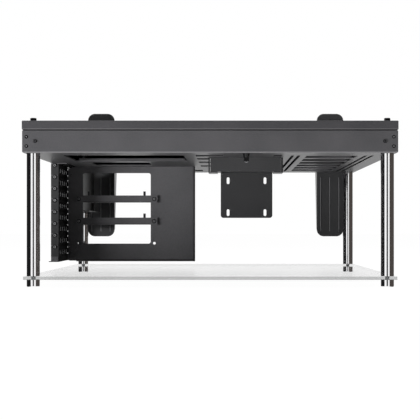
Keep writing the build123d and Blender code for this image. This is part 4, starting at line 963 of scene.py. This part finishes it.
def placed_nodes(tree, given, head):
    """Heads and shanks on every place, made real."""
    rod = add(tree, "GeometryNodeMeshCone", {
        "Vertices": SHANK_SIDES, "Radius Bottom": given["Shank Radius"],
        "Radius Top": given["Shank Radius"], "Depth": 1.0})
    shank = add(tree, "GeometryNodeTransform", {"Geometry": rod.outputs["Mesh"],
                                                "Rotation": (math.pi, 0, 0)})
    facing = add(tree, "GeometryNodeInputNamedAttribute", {"Name": "facing"},
                 data_type="FLOAT_VECTOR")
    reach = add(tree, "GeometryNodeInputNamedAttribute", {"Name": "reach"}, data_type="FLOAT")
    turn = add(tree, "FunctionNodeAlignRotationToVector",
               {"Vector": facing.outputs["Attribute"]}, axis="Z")
    stretch = add(tree, "ShaderNodeCombineXYZ", {"X": MM, "Y": MM,
                                                 "Z": reach.outputs["Attribute"]})
    both = add(tree, "GeometryNodeJoinGeometry")
    for part, scale in ((head, (MM, MM, MM)), (shank.outputs[0], stretch.outputs[0])):
        placed = add(tree, "GeometryNodeInstanceOnPoints", {
            "Points": given["Places"], "Instance": part, "Rotation": turn.outputs[0],
            "Scale": scale})
        tree.links.new(placed.outputs[0], both.inputs[0])
    return add(tree, "GeometryNodeRealizeInstances", {"Geometry": both.outputs[0]}).outputs[0]


def dressed_nodes(tree, given, pieces):
    """Pieces shaded smooth between their sharp edges, in their two finishes."""
    angle = add(tree, "GeometryNodeInputMeshEdgeAngle")
    round_edge = add(tree, "FunctionNodeCompare", {"A": angle.outputs[0], "B": SMOOTH_BELOW},
                     operation="LESS_THAN")
    smooth = add(tree, "GeometryNodeSetShadeSmooth", {"Geometry": pieces}, domain="FACE")
    creased = add(tree, "GeometryNodeSetShadeSmooth", {
        "Geometry": smooth.outputs[0], "Shade Smooth": round_edge.outputs[0]}, domain="EDGE")
    dressed = add(tree, "GeometryNodeSetMaterial", {"Geometry": creased.outputs[0],
                                                    "Material": given["Finish"]})
    mark = add(tree, "GeometryNodeInputNamedAttribute", {"Name": "dark"}, data_type="BOOLEAN")
    return add(tree, "GeometryNodeSetMaterial", {
        "Geometry": dressed.outputs[0], "Material": given["Dark Finish"],
        "Selection": mark.outputs["Attribute"]}).outputs[0]


def fastener_tree(kind):
    """A tree that sets a headed fastener on every point: kind is cross, hexagon or plain."""
    tree = bpy.data.node_groups.new(kind + "_fastener", "GeometryNodeTree")
    tree.interface.new_socket("Places", in_out="INPUT", socket_type="NodeSocketGeometry")
    for size in SIZES:
        tree.interface.new_socket(size, in_out="INPUT", socket_type="NodeSocketFloat")
    for finish in FINISHES:
        tree.interface.new_socket(finish, in_out="INPUT", socket_type="NodeSocketMaterial")
    tree.interface.new_socket("Fasteners", in_out="OUTPUT", socket_type="NodeSocketGeometry")
    given = add(tree, "NodeGroupInput").outputs
    pieces = placed_nodes(tree, given, whole_head(tree, given, kind))
    add(tree, "NodeGroupOutput", {"Fasteners": dressed_nodes(tree, given, pieces)})
    return tree


TREES = {kind: fastener_tree(kind) for kind in ("cross", "hexagon", "plain")}
print("trees:", sorted(TREES))

# %% [markdown]
# Each node of screws or rivets gets one run of a tree. The modifier's inputs are set by their
# identifiers, the result becomes a plain mesh, and the points that made it are removed.

# %% Make the fasteners of one node
def set_fasteners(name, kind, seats, sizes, finish):
    """Makes the fasteners of one node as a plain mesh that stands for it."""
    places = bpy.data.meshes.new(name + "_places")
    places.from_pydata([seat for seat, facing, reach in seats], [], [])
    places.attributes.new("facing", "FLOAT_VECTOR", "POINT")
    places.attributes.new("reach", "FLOAT", "POINT")
    for index, (seat, facing, reach) in enumerate(seats):
        places.attributes["facing"].data[index].vector = facing
        places.attributes["reach"].data[index].value = reach * MM
    maker = bpy.data.objects.new(name + "_maker", places)
    bpy.context.scene.collection.objects.link(maker)
    nodes = maker.modifiers.new("fasteners", "NODES")
    nodes.node_group = TREES[kind]
    # The dark finish is painted shade on the marked faces.
    values = {**sizes, "Finish": finish, "Dark Finish": oxide_and_painted_shade}
    for socket in TREES[kind].interface.items_tree:
        if socket.in_out == "INPUT" and socket.name in values:
            nodes[socket.identifier] = values[socket.name]
    evaluated = maker.evaluated_get(bpy.context.evaluated_depsgraph_get())
    mesh = bpy.data.meshes.new_from_object(evaluated)
    maker.modifiers.clear()
    bpy.data.objects.remove(maker)
    stand_for(name, mesh)
    print(name, len(seats), "places,", len(mesh.polygons), "faces")


# %% Small screws
FRONT, BACK, UP, DOWN = (0, -1, 0), (0, 1, 0), (0, 0, 1), (0, 0, -1)
SCREW_HEAD = 2.2
CROSS_SCREW = {"Head Radius": 3.3, "Shoulder Radius": 3.3, "Rim Height": 1.3, "Crown Radius": 2.3,
               "Crown Height": 0.9, "Recess Width": 3.2, "Recess Depth": 1.5, "Shank Radius": 2.0,
               "Flange Radius": 3.9, "Flange Height": 0.3}
COVER_SCREW = {**CROSS_SCREW, "Shank Radius": 1.7}
SOCKET_SCREW = {"Head Radius": 2.4, "Shoulder Radius": 2.4, "Rim Height": 1.4, "Crown Radius": 2.1,
                "Crown Height": 0.8, "Recess Width": 2.5, "Recess Depth": 1.6, "Shank Radius": 2.0,
                "Flange Radius": 2.9, "Flange Height": 0.3}
# The lighter finishes given here go on the heads' flat tops as a painted highlight.
for name, kind, facing, sizes, finish in (
        ("slot_screws", "cross", FRONT, COVER_SCREW, highlight_zinc),
        ("bar_screws", "cross", FRONT, CROSS_SCREW, highlight_zinc),
        ("corner_screws", "hexagon", FRONT, SOCKET_SCREW, dark_zinc),
        ("bracket_screws", "hexagon", BACK, SOCKET_SCREW, highlight_zinc),
        ("hanging_screws", "cross", DOWN, CROSS_SCREW, highlight_zinc)):
    set_fasteners(name, kind, seats_of(name, facing, SCREW_HEAD), sizes, finish)

# %% [markdown]
# The four large screws on the lid run down into the legs. They are socket cap screws, so their
# heads are tall and hold a wide hexagon. The rivets are domed at both ends, and those at the slot
# frame end flush with the riser panel's front.

# %% Leg screws and rivets
LEG_SCREW_HEAD = 5.0
LEG_SCREW = {"Head Radius": 4.75, "Shoulder Radius": 4.75, "Rim Height": 4.2, "Crown Radius": 4.0,
             "Crown Height": 0.8, "Recess Width": 5.6, "Recess Depth": 2.8, "Shank Radius": 3.0,
             "Flange Radius": 4.75, "Flange Height": 0.3}
RIVET_HEAD = 0.8
RIVET_TAIL = 1.2
RIVET = {"Head Radius": 2.0, "Shoulder Radius": 1.75, "Rim Height": 0.35, "Crown Radius": 0.9,
         "Crown Height": 0.45, "Shank Radius": 1.45, "Flange Radius": 2.7, "Flange Height": 0.12}


def rivet_seats(name):
    """Seats at both ends of each rivet: a head that faces outwards from its wall, and a tail."""
    seats = []
    for seat, facing, reach in seats_of(name, FRONT, RIVET_HEAD):
        in_front = seat.y < 0 or name == "frame_rivets"
        grip = reach - RIVET_TAIL
        shift = 0.0 if in_front else (RIVET_TAIL - RIVET_HEAD) * MM
        seat = seat + Vector((0, shift, 0))
        seats.append((seat, facing, grip))
        seats.append((seat + Vector((0, grip * MM, 0)), Vector(BACK), grip / 2))
    return seats


set_fasteners("leg_screws", "hexagon", seats_of("leg_screws", UP, LEG_SCREW_HEAD), LEG_SCREW,
              black_oxide)
for name in ("corner_rivets", "frame_rivets"):
    set_fasteners(name, "plain", rivet_seats(name), RIVET, highlight_zinc)

# %% [markdown]
# The picture is set to the plain Standard view, so a colour shows about as it is written, and
# the sizes of the dressed bench are printed beside those of the imported one.

# %% View and sizes
bpy.context.scene.view_settings.view_transform = "Standard"
sizes = {"cad": [list(corner) for corner in CAD_BOX],
         "visual": [list(corner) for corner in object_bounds()]}
print("sizes", sizes)
